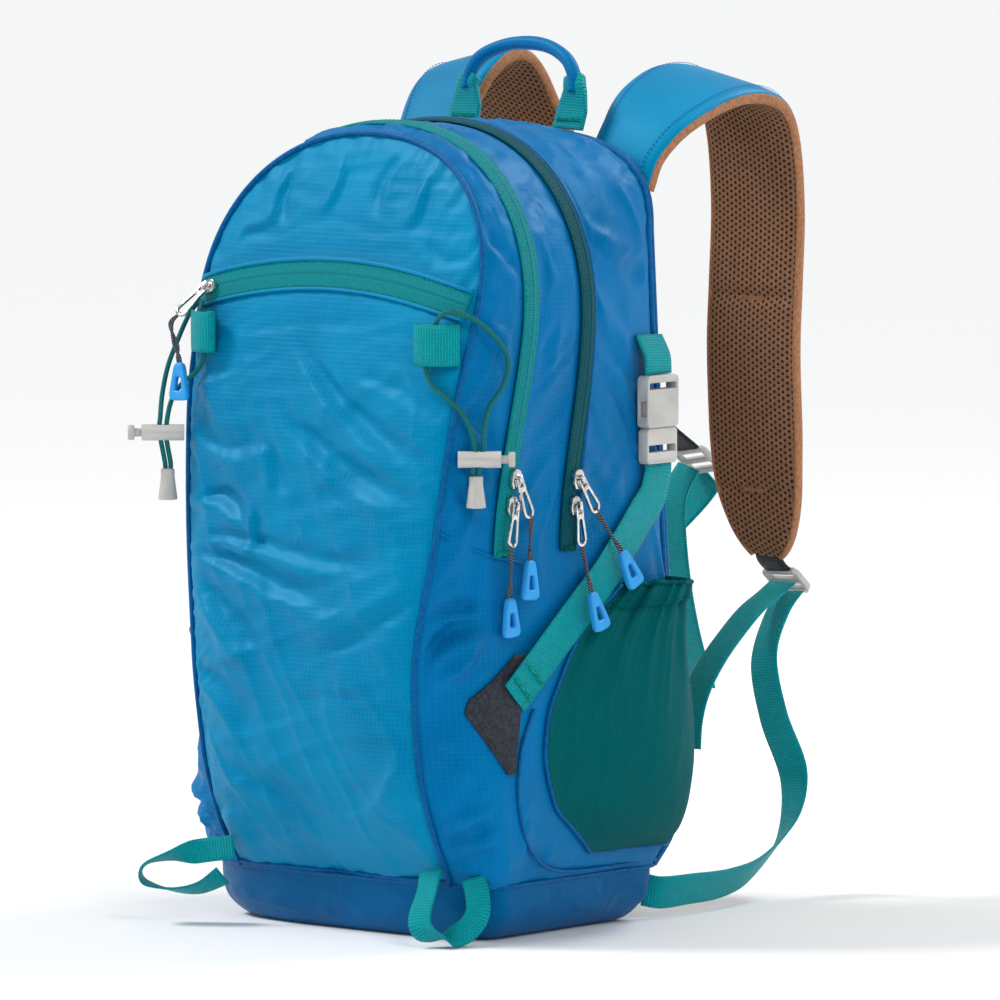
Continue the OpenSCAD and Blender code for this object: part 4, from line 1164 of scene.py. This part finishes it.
def side_pocket(name, sign):
    """Stretch pocket whose elastic hem gathers the cloth into upright pleats."""
    rows, columns = 64, 120
    heights = POCKET_FLOOR + (POCKET_TOP - POCKET_FLOOR) * np.linspace(0, 1, rows) ** 1.2
    shares = np.linspace(0, 1, columns)
    grid = np.array([[pocket_point(u, z) for u in shares] for z in heights])
    weave = cloth_lengths(grid)
    across = weave[..., 1]
    z = grid[..., 2]
    hem = POCKET_TOP - 10
    pleat = noise_at(np.stack([across / 7.5, 0 * across, z / 90], axis=-1), 1, 61)
    fine = noise_at(np.stack([across / 3.2, 0 * across, z / 60], axis=-1), 1, 63)
    drawn = np.exp(-np.maximum(hem - z, 0) / 42)
    middle = ease(0, 0.08, shares)[None, :] * ease(1, 0.93, shares)[None, :]
    relief = (3.8 * pleat + 1.3 * fine) * drawn * middle
    relief += (1.3 * ease(hem - 1.5, hem + 1, z) - 1.6 * np.exp(-((z - hem + 2) / 2.6) ** 2)) * middle
    relief += 0.7 * folds(grid, (0, 0.2, 1), 80, 16, 65) * middle * ease(POCKET_FLOOR, 90, z)
    normal = outward_normals(grid, POCKET_MIDDLE)
    grid = grid + normal * relief[..., None]
    inward = -normal
    if sign < 0:
        grid, inward = flip(grid[:, ::-1]), flip(inward[:, ::-1])
        weave = weave[:, ::-1]
    sheet_piece(f"side_pocket_cloth_{name}", grid, POCKET_KNIT, weave, thickness=1.2, inward=inward,
                replaces=f"side_pocket_{name}")
    place = placer(sign)
    outer = grid if sign > 0 else flip(grid[:, ::-1])
    out = outer - POCKET_MIDDLE
    row = int(np.argmin(np.abs(heights - (POCKET_TOP - 8))))
    lift = np.array([0.8, -0.2, 0])
    stitch_rows(f"pocket_hem_stitching_{name}", [place(outer[row] + lift), place(outer[row - 1] + lift)],
                DARK_THREAD, [place(out[row]), place(out[row - 1])], pitch=2.6, length=1.8)
    top = place(outer[-1] + np.array([-0.6, 0, 0.4]))
    tube(f"pocket_hem_{name}", resample(top, 2.5), 3.0, POCKET_KNIT)
    # Blue piping where the pocket is sewn into the side, and the panel seam in front of it
    edge = [on_side(float(table(POCKET_FRONT, h)) - 0.8, h, 1.6)
            for h in np.linspace(POCKET_TOP, POCKET_FLOOR, 50)]
    edge += [on_side(y, POCKET_FLOOR - 0.6, 1.6) for y in np.linspace(18, POCKET_BACK_Y - 2, 24)]
    tube(f"pocket_edge_{name}", place(resample(np.array(edge), 3)), 2.6, PIPING)
    seam = catmull([on_side(y, h, 1.2) for y, h in PANEL_SEAM], 8)
    tube(f"side_panel_seam_{name}", place(resample(seam, 3)), 2.2, PIPING)


# ---------- webbing, patches and buckles ----------

BUCKLE_Y, BUCKLE_Z, BUCKLE_T, SOCKET_L, PLUG_L = 74, 306, 9, 32, 22
STRAP_W, WEB_T = 25, 1.6
STRAP_LINE = [[-58, 150, 5], [-39, 169, 5.2], [-20, 187, 5], [-2, 202, 4.4], [19, 218, 3.4],
              [40, 237, 3], [56, 252, 3], [68, 264, 4]]


def buckle_place():
    """Where the buckle's two halves meet, against the right side."""
    return np.array([side_x(BUCKLE_Y, BUCKLE_Z) + 2.5, BUCKLE_Y, BUCKLE_Z])


def compression(name, sign):
    """Strap from the stiff patch up and back across the side to the buckle's plug."""
    last = buckle_place() + np.array([BUCKLE_T / 2, 0, -PLUG_L - 0.4])
    line = [on_side(y, z, off) for y, z, off in STRAP_LINE]
    route = np.vstack([catmull(line + [last - np.array([0, 0, 5])], 10),
                       last - np.array([0, 0, 2]), last])
    sides = np.cross(np.array([1, 0, 0]), directions(route))
    route, sides = resampled(route, sides, 2.5)
    place = placer(sign)
    piece = ribbon(f"compression_web_{name}", place(route), place(sides), STRAP_W, WEB_T, TEAL_WEB,
                   replaces=f"compression_strap_{name}", body=None)
    tuple(place(route[len(route) * 2 // 3]) * MM)
    tuple(place(route[-4]) * MM)
    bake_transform(piece)
    for k, near in enumerate((3, 8)):
        bar_tack(f"compression_tack_{name}_{k}", place(route[near] + np.array([0.9, 0, 0])),
                 place(sides[near]), (sign, 0, 0), STRAP_W - 4, TEAL_THREAD)
    top = buckle_place() + np.array([BUCKLE_T / 2, 0, SOCKET_L + 0.4])
    short = catmull([top, top + np.array([0, 0, 4]), top + np.array([-1.5, 0.5, 12]),
                     on_side(BUCKLE_Y + 1, 362, 2.4)], 8)
    ribbon(f"buckle_strap_{name}", place(resample(short, 2.5)), (0, 1, 0), STRAP_W, WEB_T, TEAL_WEB,
           replaces=f"buckle_web_{name}")
    bar_tack(f"buckle_strap_tack_{name}", place(on_side(BUCKLE_Y + 1, 354, 4.4)), (0, 1, 0), (sign, 0, 0),
             STRAP_W - 4, TEAL_THREAD)


# Front and back edges of the stiff patch, as height and depth
PATCH_FRONT = [[104, -62], [142, -84], [150, -82], [176, -54]]
PATCH_BACK = [[104, -57], [176, -47]]
PATCH_T = 1.4


def patch_points(z, share, off):
    """Point of the stiff patch: share runs from its front edge, 0, to its back edge, 1."""
    y0 = float(np.interp(z, *np.array(PATCH_FRONT, float).T))
    y1 = float(np.interp(z, *np.array(PATCH_BACK, float).T))
    return on_side(y0 + (y1 - y0) * share, z, off)


def side_patches():
    """Stiff triangular patches under the lower ends of the compression straps."""
    points, faces, weave = [], [], []
    rows, columns = 26, 16
    outer = np.array([[patch_points(z, u, 2.9) for u in np.linspace(0, 1, columns)]
                      for z in np.linspace(104, 176, rows)])
    cloth = cloth_lengths(outer)
    rim = rim_of(rows, columns)
    for _, sign in SIDES:
        first = len(points)
        second = first + rows * columns
        for start, off in ((first, 0), (second, -PATCH_T)):
            grid = outer + np.array([off, 0, 0])
            points += list((grid * (sign, 1, 1)).reshape(-1, 3))
            weave += list(cloth.reshape(-1, 3))
            faces += grid_faces(rows, columns, start, turned=(off == 0) == (sign < 0))
        faces += [(first + a, first + b, second + b, second + a)
                  for a, b in zip(rim, rim[1:] + rim[:1])]
    add_piece("anchor_patch_cloth", points, faces, DARK_PATCH, weave=weave, replaces="anchor_patches")
    edge = [patch_points(z, 0.1, 3.3) for z in np.linspace(108, 174, 40)]
    routes = [np.array(edge), flip(edge)]
    stitch_rows("anchor_patch_stitching", routes, DARK_PATCH, [(1, -0.4, 0), (-1, -0.4, 0)])


# ---------- haul handle ----------

# Right half of the loop, from its foot to its top, and the tab that holds its foot
HANDLE = [[43, 99, 507], [41.5, 100, 517], [34, 102, 527], [18, 105, 534], [0, 106, 536]]
HANDLE_TAB = [[42, 93, 484.5], [42.5, 96.5, 495], [43, 98.8, 506]]


def haul_handle():
    """Padded loop with a webbing tab at each foot."""
    points = np.vstack([HANDLE, flip(HANDLE[-2::-1])])
    route = resample(catmull(points, 10), 2)
    swell = 1 + 0.03 * np.sin(lengths(route) / 7)
    section = circle(4.25, 20)
    sides = np.cross(directions(route), np.array([0, 1, 0.2]))
    sweep("handle_cover", route, sides, section, SIDE_CLOTH, scale=np.stack([swell, swell], axis=1),
          body="haul_handle", replaces="handle_grip")
    seam = route + np.array([0, -3.6, -2.2])
    stitch_rows("handle_stitching", [seam[4:-4]], BLUE_THREAD, [(0, -1, -0.6)], body="haul_handle")
    tab = resample(catmull(HANDLE_TAB + [[42.6, 99.2, 511], [40.5, 101.6, 516]], 8), 1.5)
    count = len(tab)
    place_in_tab = np.arange(count)
    width = np.interp(place_in_tab, [0, count * 0.35, count * 0.75, count - 1], [1.0, 0.98, 0.62, 0.52])
    roll = np.interp(place_in_tab, [0, count * 0.4, count - 1], [1.0, 1.0, 3.4])
    for name, sign in SIDES:
        place = placer(sign)
        sweep(f"handle_tab_web_{name}", place(tab), (1, 0, 0), webbing_section(24, 2.6), TEAL_WEB,
              scale=np.stack([width, roll], axis=1), body="haul_handle",
              replaces="handle_tabs" if sign > 0 else ())
        bar_tack(f"handle_tab_tack_{name}", place(tab[4]), (1, 0, 0), (0, -1, 0.3), 18, TEAL_THREAD,
                 "haul_handle", rise=1.7)


# ---------- shoulder straps ----------

PAD_RIGHT = [
    [76, 101, 452], [79, 106, 470], [83, 118, 487], [84, 140, 501], [85, 168, 510],
    [86, 196, 509], [86, 214, 497], [86, 224, 472], [86, 228, 430], [86, 226, 385],
    [86, 224, 345], [86, 226, 300], [86, 229, 262], [85, 236, 232], [84, 242, 213],
]
PAD_LEFT = [
    [-76, 101, 452], [-79, 106, 470], [-82, 118, 490], [-82, 132, 508], [-81, 148, 518],
    [-80, 163, 518], [-79, 177, 508], [-78, 190, 490], [-76, 205, 466], [-73, 220, 436],
    [-70, 234, 402], [-66, 247, 366], [-62, 260, 336], [-57, 276, 310], [-52, 292, 291],
]
# By number of a pad's point: share of its full width, and its lean
PAD_TAPER = [[0, 0.74], [1, 0.76], [3, 0.94], [4, 1], [11, 1], [12, 0.94], [13, 0.72], [14, 0.34]]
PAD_ROLL = [[0, 0], [1, 0.06], [3, 0.24], [5, 0.22], [7, 0.05], [14, 0]]
PAD_W, PAD_T = 70, 12
# Where stitched channels cross a pad, as shares of its length
PAD_CHANNELS = (0.62, 0.9)


def pad_section():
    """Foam pad: blue shell outside, mesh face inside, thinner at its bound edges."""
    a = np.linspace(0, 2 * math.pi, 56, endpoint=False)
    x = np.sign(np.cos(a)) * np.abs(np.cos(a)) ** 0.42
    y = np.sign(np.sin(a)) * np.abs(np.sin(a)) ** 0.62
    return np.stack([x * PAD_W / 2, y * PAD_T / 2], axis=1), a


def shoulder_pad(name, points, sign):
    """Foam pad with a bound edge, two channels across it and a row of stitches along each side."""
    coarse = catmull(points, 12)
    route = resample(coarse, 2.6)
    count = len(points) - 1
    index = np.interp(lengths(route), lengths(coarse), np.linspace(0, count, count * 12 + 1))
    taper = table(PAD_TAPER, index)
    roll = table(PAD_ROLL, index)
    sides = np.stack([np.ones(len(route)), 0 * roll, -sign * roll], axis=1)
    section, angle = pad_section()
    run = lengths(route)
    dents = np.ones(len(route))
    for at in PAD_CHANNELS:
        dents -= 0.34 * np.exp(-((run / run[-1] - at) / 0.007) ** 2)
    thick = np.minimum(1, 0.45 + ease(0, 12, run[-1] - run) * 0.55) * dents
    scale = np.stack([taper, thick], axis=1)
    slots = [0 if math.sin(v) > -0.15 else 1 for v in angle]
    piece = sweep(f"pad_{name}", route, sides, section, [AIR_MESH, FRONT_CLOTH], scale=scale,
                  slots=slots, body=f"shoulder_strap_{name}", replaces=f"strap_pad_{name}", turned=True)
    s, n = frames(route, sides)
    for edge in (-1, 1):
        rim = route + s * (edge * (PAD_W / 2 * taper - 1.2))[:, None] + n * 0.8
        sweep(f"pad_rim_{name}_{'in' if edge < 0 else 'out'}", rim, sides, circle(1, 12) * (2.0, 3.6),
              RIM_CLOTH, body=f"shoulder_strap_{name}")
    for k, at in enumerate(PAD_CHANNELS):
        i = int(np.argmin(np.abs(run / run[-1] - at)))
        bar_tack(f"pad_tack_{name}_{k}", route[i] + n[i] * 4.2, s[i], n[i], 19, RIM_CLOTH,
                 f"shoulder_strap_{name}", rise=0.6)
    shell = route - n * (PAD_T / 2 * thick)[:, None]
    rows = [shell + s * (k * (PAD_W / 2 * taper - 7))[:, None] - n * 0.1 for k in (-1, 1)]
    stitch_rows(f"pad_stitching_{name}", rows, BLUE_THREAD, [-n, -n], body=f"shoulder_strap_{name}")


# Where each pad's tab webbing ends in its ladder lock, and its direction there
LOCKS = {"right": ([85, 250, 203], [0.05, 0.75, -0.65]), "left": ([-40, 316, 268], [0.2, 0.7, -0.68])}


def strap_tab(name, points):
    """Doubled webbing from the end of the pad to its ladder lock."""
    lock, run = np.array(LOCKS[name][0], float), unit(LOCKS[name][1])
    last = np.array(points[-1], float)
    end = unit(last - np.array(points[-2], float))
    route = resample(catmull([last - end * 3, last + end * 3, (last + lock) / 2 + end * 2.5,
                              lock - run * 2, lock + run * 2.2], 8), 1.5)
    ribbon(f"tab_web_{name}", route, (1, 0, 0), 20, 2.6, DARK_WEB, body=f"shoulder_strap_{name}",
           replaces=f"strap_tab_{name}")


# ---------- free webbing ----------

# Routes of the anchor webbing from the base to the ladder locks, of the free tails and of the gear
# loops. A gear loop's second list is the direction of its width at each point.
ANCHORS = {
    "right": [[106, 89.5, 18], [113, 98, 16], [116, 123, 16], [115, 160, 16], [112, 194, 22],
              [106, 232, 42], [101, 246, 74], [96, 232, 112], [92, 227, 148], [88, 244, 174],
              [86.5, 261, 188]],
    "left": [[-106, 89.5, 18], [-113, 98, 16], [-116, 122, 16], [-115, 156, 24], [-111, 188, 46],
             [-104, 220, 78], [-96, 252, 116], [-86, 286, 158], [-72, 316, 200], [-52, 334, 230],
             [-36, 335, 249]],
}
TAILS = {
    "right": [[86, 253.5, 194.5], [86, 240, 188], [86, 222, 180], [86, 204, 168], [86, 184, 152],
              [86, 168, 134], [86, 160, 116], [86, 158, 98]],
    "left": [[-42, 320, 256], [-45, 314, 246], [-46, 309, 234], [-46, 309, 218], [-46, 312, 195],
             [-46, 318, 168], [-46, 327, 141], [-46, 340, 112]],
}
GEAR = {
    "right": ([[81, -85, 45], [84.5, -93, 34], [87, -103, 18], [91, -102, 9.4], [98, -92, 6],
               [106, -82, 10.4], [110, -76, 20], [107, -73, 33], [103, -72, 41]],
              [[0.9, 0.3, 0.2], [0.95, 0.1, 0.2], [0.95, 0.2, 0], [0.9, 0.4, 0], [0.8, 0.6, 0],
               [0.7, 0.7, 0], [0.6, 0.8, 0], [0.6, 0.8, 0.1], [0.6, 0.8, 0.2]]),
    "left": ([[-70, -92, 48], [-84, -104, 46], [-102, -117, 42], [-116, -124, 36],
              [-118, -122, 26], [-104, -112, 21], [-90, -102, 22], [-78, -94, 30]],
             [[0.2, 0.5, 0.8], [0.3, 0.4, 0.8], [0.5, -0.6, 0.4], [0.6, -0.8, 0.1],
              [0.6, -0.8, -0.1], [0.6, -0.7, 0.2], [0.5, -0.5, 0.5], [0.3, -0.3, 0.8]]),
}
SHOULDER_WEB_W, LOOP_W = 20, 15


def anchor_web(name, sign):
    """Webbing from the base to the ladder lock. Its width turns from upright to level on the way."""
    coarse = catmull(ANCHORS[name], 8)
    count = len(coarse)
    start, end = np.array([0, 0.2, 1]), np.array([sign, 0, 0.1])
    turn = np.interp(np.arange(count), [0, count * 0.25, count - 1], [0, 0.25, 1])[:, None]
    sides = start + (end - start) * turn
    route, sides = resampled(coarse, sides, 2.5)
    piece = ribbon(f"anchor_strap_{name}", route, sides, SHOULDER_WEB_W, WEB_T, TEAL_WEB, body=None,
                   replaces=f"anchor_web_{name}")
    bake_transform(piece)


def web_tail(name):
    """Free end of the webbing that hangs from the ladder lock."""
    route = resample(catmull(TAILS[name], 8), 2.5)
    piece = ribbon(f"tail_{name}", route, (1, 0, 0), SHOULDER_WEB_W, WEB_T, TEAL_WEB,
                   body=f"strap_adjuster_{name}", replaces=f"web_tail_{name}")


def gear_loop(name):
    """Twisted loop at the foot of the front panel."""
    route, sides = resampled(*(catmull(v, 10) for v in GEAR[name]), 2)
    piece = ribbon(f"gear_web_{name}", route, sides, LOOP_W, WEB_T, TEAL_WEB,
                   replaces=f"gear_loop_{name}")


# ---------- elastic cords ----------

KEEPER_Z = 364
KEEPER = [
    [106, -88, KEEPER_Z], [100, -96, KEEPER_Z], [92, -101, KEEPER_Z], [85, -102.5, KEEPER_Z],
    [80.5, -99, KEEPER_Z], [83.5, -95, KEEPER_Z], [91, -93.5, KEEPER_Z], [99, -90.5, KEEPER_Z],
]
# The two strands of each cord, from the keeper to above the bell; where each bell is; and the
# direction from one strand to the other inside the cord lock
STRANDS = {
    "right": (
        [[92, -97, 364], [95, -96.5, 378], [102, -94, 384], [112, -85, 381], [120, -72, 369],
         [123, -63, 355], [122, -66, 340], [119, -76, 326], [120, -82, 312], [120.5, -83.7, 296]],
        [[88, -98.5, 360], [89, -98.5, 348], [94, -98.5, 339], [102, -96, 333], [110, -90, 323],
         [115.5, -87.5, 310], [117.5, -86.3, 296]]),
    "left": (
        [[-92, -97, 364], [-93, -96.5, 376.5], [-95.5, -92, 381], [-103, -87.5, 380.5],
         [-111, -87, 372], [-115, -92, 358], [-117, -99, 342], [-115.5, -106, 326],
         [-112.5, -111.5, 312], [-111.5, -113.3, 302]],
        [[-88, -98.5, 360], [-89.5, -98, 348], [-96, -97, 339], [-104, -102, 331],
         [-108, -107, 320], [-108.5, -110.7, 302]]),
}
BELLS = {"right": [118, -87, 286], "left": [-107, -111, 280]}
LOCK_AXES = {"right": [0.766, 0.643, 0], "left": [-0.766, -0.643, 0]}
CORD_D = 3


def bungee(name, sign):
    """Two strands of elastic cord from the keeper through the lock into the bell."""
    place = placer(sign)
    keeper = resample(catmull(KEEPER, 10), 1.5)
    ribbon(f"keeper_{name}", place(keeper), (0, 0, 1), STRAP_W, WEB_T, TEAL_WEB,
           replaces=f"bungee_keeper_{name}")
    axis = np.array(LOCK_AXES[name])
    end = np.array(BELLS[name], float)
    for k, (points, side) in enumerate(zip(STRANDS[name], (1, -1))):
        points = points + [list(end + axis * side * 1.7 + (0, 0, 4)),
                           list(end + axis * side * 1.6 + (0, 0, 0.4))]
        route = resample(catmull(points, 12), 1.2)
        piece = tube(f"bungee_{name}_{k}", route, CORD_D, ELASTIC, body=None,
                     replaces=f"bungee_cord_{name}" if k == 0 else ())
        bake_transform(piece)


# ---------- fittings made from the frame's own solids ----------

# Edges sharper than this are rounded over
BEVEL_ANGLE = math.radians(28)


def fitting(node, material, bevel_mm, body):
    """A CAD fitting with its edges rounded over, as it leaves the mould."""
    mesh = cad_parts[node].data.copy()
    mesh.name = node + "_fitting"
    shape = bmesh.new()
    shape.from_mesh(mesh)
    bmesh.ops.remove_doubles(shape, verts=shape.verts, dist=2e-6)
    bmesh.ops.dissolve_limit(shape, angle_limit=math.radians(1.5), verts=shape.verts, edges=shape.edges)
    sharp = [e for e in shape.edges
             if len(e.link_faces) == 2 and e.calc_face_angle(0) > BEVEL_ANGLE]
    bmesh.ops.bevel(shape, geom=sharp, offset=bevel_mm * MM, offset_type="OFFSET", segments=2,
                    profile=0.5, affect="EDGES", clamp_overlap=True)
    shape.to_mesh(mesh)
    shape.free()
    mesh.materials.clear()
    mesh.materials.append(material)
    for polygon in mesh.polygons:
        polygon.use_smooth = True
        polygon.material_index = 0
    mesh.set_sharp_from_angle(angle=math.radians(38))
    piece = add_object(node + "_fitting", mesh)
    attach(piece, body)
    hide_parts(node)
    return piece


# Where each metal puller hangs from its slider, where its cord starts, where its rubber grip begins
# and ends, and the face of the grip
PULLS = {
    "front_upper": ([123.6, -53.1, 282], [126, -45, 257], [127, -47, 233], [128, -48, 209], [1, 0, 0]),
    "front_lower": ([123.3, -55.8, 266], [124, -61, 240], [122.5, -60.5, 211], [122.5, -59, 187],
                    [1, 0, 0]),
    "main_upper": ([130, -1.6, 279], [131, 15, 255], [139, 26, 234], [143, 36, 212], [1, 0, 0]),
    "main_lower": ([130.3, -4.4, 263], [130, -1, 238], [139, -3, 211], [143, 3, 188], [1, 0, 0]),
    "pocket": ([-96, -87.9, 391.3], [-112, -102, 368], [-100, -107.5, 345], [-98.5, -110, 322],
               [0, -1, 0.32]),
}
# How far down the puller's slot its cord loop sits
PULLER_REACH = 22.6
GRIP_TOP_W, GRIP_END_W, GRIP_T = 7.0, 15.5, 4.4


def recalculate(piece):
    """Turns a closed piece's faces outwards."""
    shape = bmesh.new()
    shape.from_mesh(piece.data)
    bmesh.ops.recalc_face_normals(shape, faces=shape.faces)
    shape.to_mesh(piece.data)
    shape.free()


def rubber_grip(name, top, end, out, body, node):
    """Flared rubber grip with rounded edges and a slot; gives its across and facing directions."""
    size = float(np.linalg.norm(end - top))
    run = (end - top) / size
    across = unit(np.cross(out, run))
    face = np.cross(run, across)
    count = 40
    turn = np.linspace(0, 2 * math.pi, count, endpoint=False)
    c, d = np.cos(turn), np.sin(turn)
    u = np.sign(d) * np.abs(d) ** 0.42
    v = 0.5 + 0.5 * np.sign(-c) * np.abs(c) ** 0.42
    outline = np.stack([u * (GRIP_TOP_W + (GRIP_END_W - GRIP_TOP_W) * v**1.15) / 2, v * size], axis=1)
    slot = np.stack([(2.2 + 0.9 * v) * u, size * 0.56 + (v - 0.5) * 8.6], axis=1)
    rings = []
    for edge, steps in (
        (outline, ((0.86, 1), (0.95, 0.9), (1.0, 0.5), (1.0, -0.5), (0.95, -0.9), (0.86, -1))),
        (slot, ((1.25, -1), (1.0, -0.8), (1.0, 0.8), (1.25, 1))),
    ):
        middle = edge.mean(axis=0)
        rings += [(middle + (edge - middle) * keep, height) for keep, height in steps]
    points = []
    for ring, height in rings:
        thick = GRIP_T / 2 * height
        points += [top + across * p[0] + run * p[1] + face * thick for p in ring]
    rows = len(rings)
    faces = grid_faces(rows, count, wrap=True)
    faces += [((rows - 1) * count + i, (rows - 1) * count + (i + 1) % count, (i + 1) % count, i)
              for i in range(count)]
    piece = add_piece(name, points, faces, BLUE_RUBBER, body=body, replaces=node)
    recalculate(piece)
    return across, face


def pull(name, puller_body, grip_node):
    """Cord loop from the metal puller into its rubber grip."""
    pin, start, top, end, out = (np.array(v, float) for v in PULLS[name])
    across, face = rubber_grip(f"{name}_rubber", top, end, out, puller_body, grip_node)
    loop = pin + unit(start - pin) * PULLER_REACH
    for k, side in enumerate((1, -1)):
        route = [loop + face * side * 0.5, start + across * side * 1.0,
                 start * 0.45 + top * 0.55 - across * side * 0.9 + face * side * 0.8,
                 start * 0.15 + top * 0.85 + across * side * 0.9,
                 top + (end - top) * 0.08 + across * side * 0.8]
        tube(f"{name}_pull_cord_{k}", resample(catmull(route, 10), 0.8), 1.9, PULL_CORD, count=10,
             body=puller_body)


def zip_fittings():
    """Every slider with its metal puller, cord and rubber grip."""
    for zip_name, end in (("front", "_upper"), ("front", "_lower"), ("main", "_upper"),
                          ("main", "_lower"), ("pocket", "")):
        slider, puller, grip = (f"{zip_name}_{kind}{end}" for kind in ("slider", "puller", "grip"))
        fitting(slider, NICKEL, 0.5, slider)
        fitting(puller, NICKEL, 0.35, puller)
        pull(zip_name + end, puller, grip)


def hardware():
    """Buckles, ladder locks and elastic cords on both sides, and the sheet inside the back."""
    for name, sign in SIDES:
        fitting(f"buckle_socket_{name}", GREY_PLASTIC, 0.8, "bag")
        fitting(f"buckle_plug_{name}", GREY_PLASTIC, 0.6, f"plug_{name}")
        fitting(f"ladder_lock_{name}", GREY_PLASTIC, 0.8, f"strap_adjuster_{name}")
        lock = fitting(f"cord_lock_{name}", GREY_PLASTIC, 0.7, f"bungee_{name}")
        button = fitting(f"lock_button_{name}", GREY_PLASTIC, 0.6, f"button_{name}")
        bell = fitting(f"cord_end_{name}", GREY_PLASTIC, 0.7, f"bungee_{name}")
        bungee(name, sign)
    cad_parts["frame_sheet"].data.materials.clear()
    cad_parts["frame_sheet"].data.materials.append(BLACK_PLASTIC)


# ---------- stage ----------

FLOOR_REACH, WALL_REACH, WALL_TOP, WALL_STEPS = 60, 55, 14, 96
# Each light's name, kind, energy, size (a sun's in degrees, an area's in metres), place and target
LIGHTS = [
    ("key_light", "SUN", 2.1, 16, (-1.5, -1.0, 2.1), (0, 0, 0)),
    ("side_light", "AREA", 15, 0.9, (2.1, -0.9, 1.9), (0.05, 0, 0.25)),
    ("rear_light", "AREA", 22, 0.8, (0.5, 1.5, 1.9), (0, 0.05, 0.4)),
]


def stage_piece(name, points, faces, material):
    """Part of the surroundings, made from points in metres."""
    mesh = bpy.data.meshes.new(name)
    mesh.from_pydata(points, [], faces)
    mesh.materials.append(material)
    add_object(name, mesh)


def stage():
    """Wide pale floor, a pale wall all round it, far off, and soft light from the upper left."""
    paint, tree, shader = new_material("floor_paint", Roughness=1.0, Specular_IOR_Level=0.0)
    tint = noise_value(tree, 1.2, 2)
    tree.links.new(blend_colours(tree, tint, (0.91, 0.91, 0.91, 1), (0.92, 0.92, 0.92, 1)),
                   shader.inputs["Base Color"])
    corners = [(-1, -1), (1, -1), (1, 1), (-1, 1)]
    stage_piece("floor", [(x * FLOOR_REACH, y * FLOOR_REACH, 0) for x, y in corners], [(0, 1, 2, 3)],
                paint)
    paper, _, _ = new_material("backdrop_paper", Roughness=1.0, Specular_IOR_Level=0.0,
                               Base_Color=(0.02, 0.02, 0.02, 1), Emission_Color=(0.95, 0.955, 0.96, 1),
                               Emission_Strength=0.95)
    ring = circle(WALL_REACH, WALL_STEPS).tolist()
    stage_piece("backdrop", [(x, y, z) for z in (-0.5, WALL_TOP) for x, y in ring],
                grid_faces(2, WALL_STEPS, wrap=True), paper)
    world = bpy.data.worlds.new("studio")
    SCENE.world = world
    world.use_nodes = True
    sky = world.node_tree.nodes["Background"]
    sky.inputs[0].default_value = (0.97, 0.985, 1.0, 1)
    sky.inputs[1].default_value = 0.48
    for name, kind, energy, size, place, target in LIGHTS:
        data = bpy.data.lights.new(name, kind)
        data.energy = energy
        if kind == "SUN":
            data.angle = math.radians(size)
        else:
            data.size = size
        light = add_object(name, data)
        light.location = place
        light.rotation_euler = aim(place, target)


# ---------- the daypack ----------

hardware()
for side_name, side_sign in SIDES:
    anchor_web(side_name, side_sign)
    web_tail(side_name)
    gear_loop(side_name)
    compression(side_name, side_sign)
    side_pocket(side_name, side_sign)
front_gusset()
main_body()
front_panel()
seam_piping()
gusset_seam()
base_tray()
back_panel()
arched_zip("front_zip", FRONT_ZIP, 0, TEAL_TAPE, TEAL_THREAD)
arched_zip("main_zip", MAIN_ZIP, 1, DARK_TAPE, DARK_THREAD)
pocket_zip()
side_patches()
haul_handle()
shoulder_pad("right", PAD_RIGHT, 1)
shoulder_pad("left", PAD_LEFT, -1)
strap_tab("right", PAD_RIGHT)
strap_tab("left", PAD_LEFT)
zip_fittings()
stage()
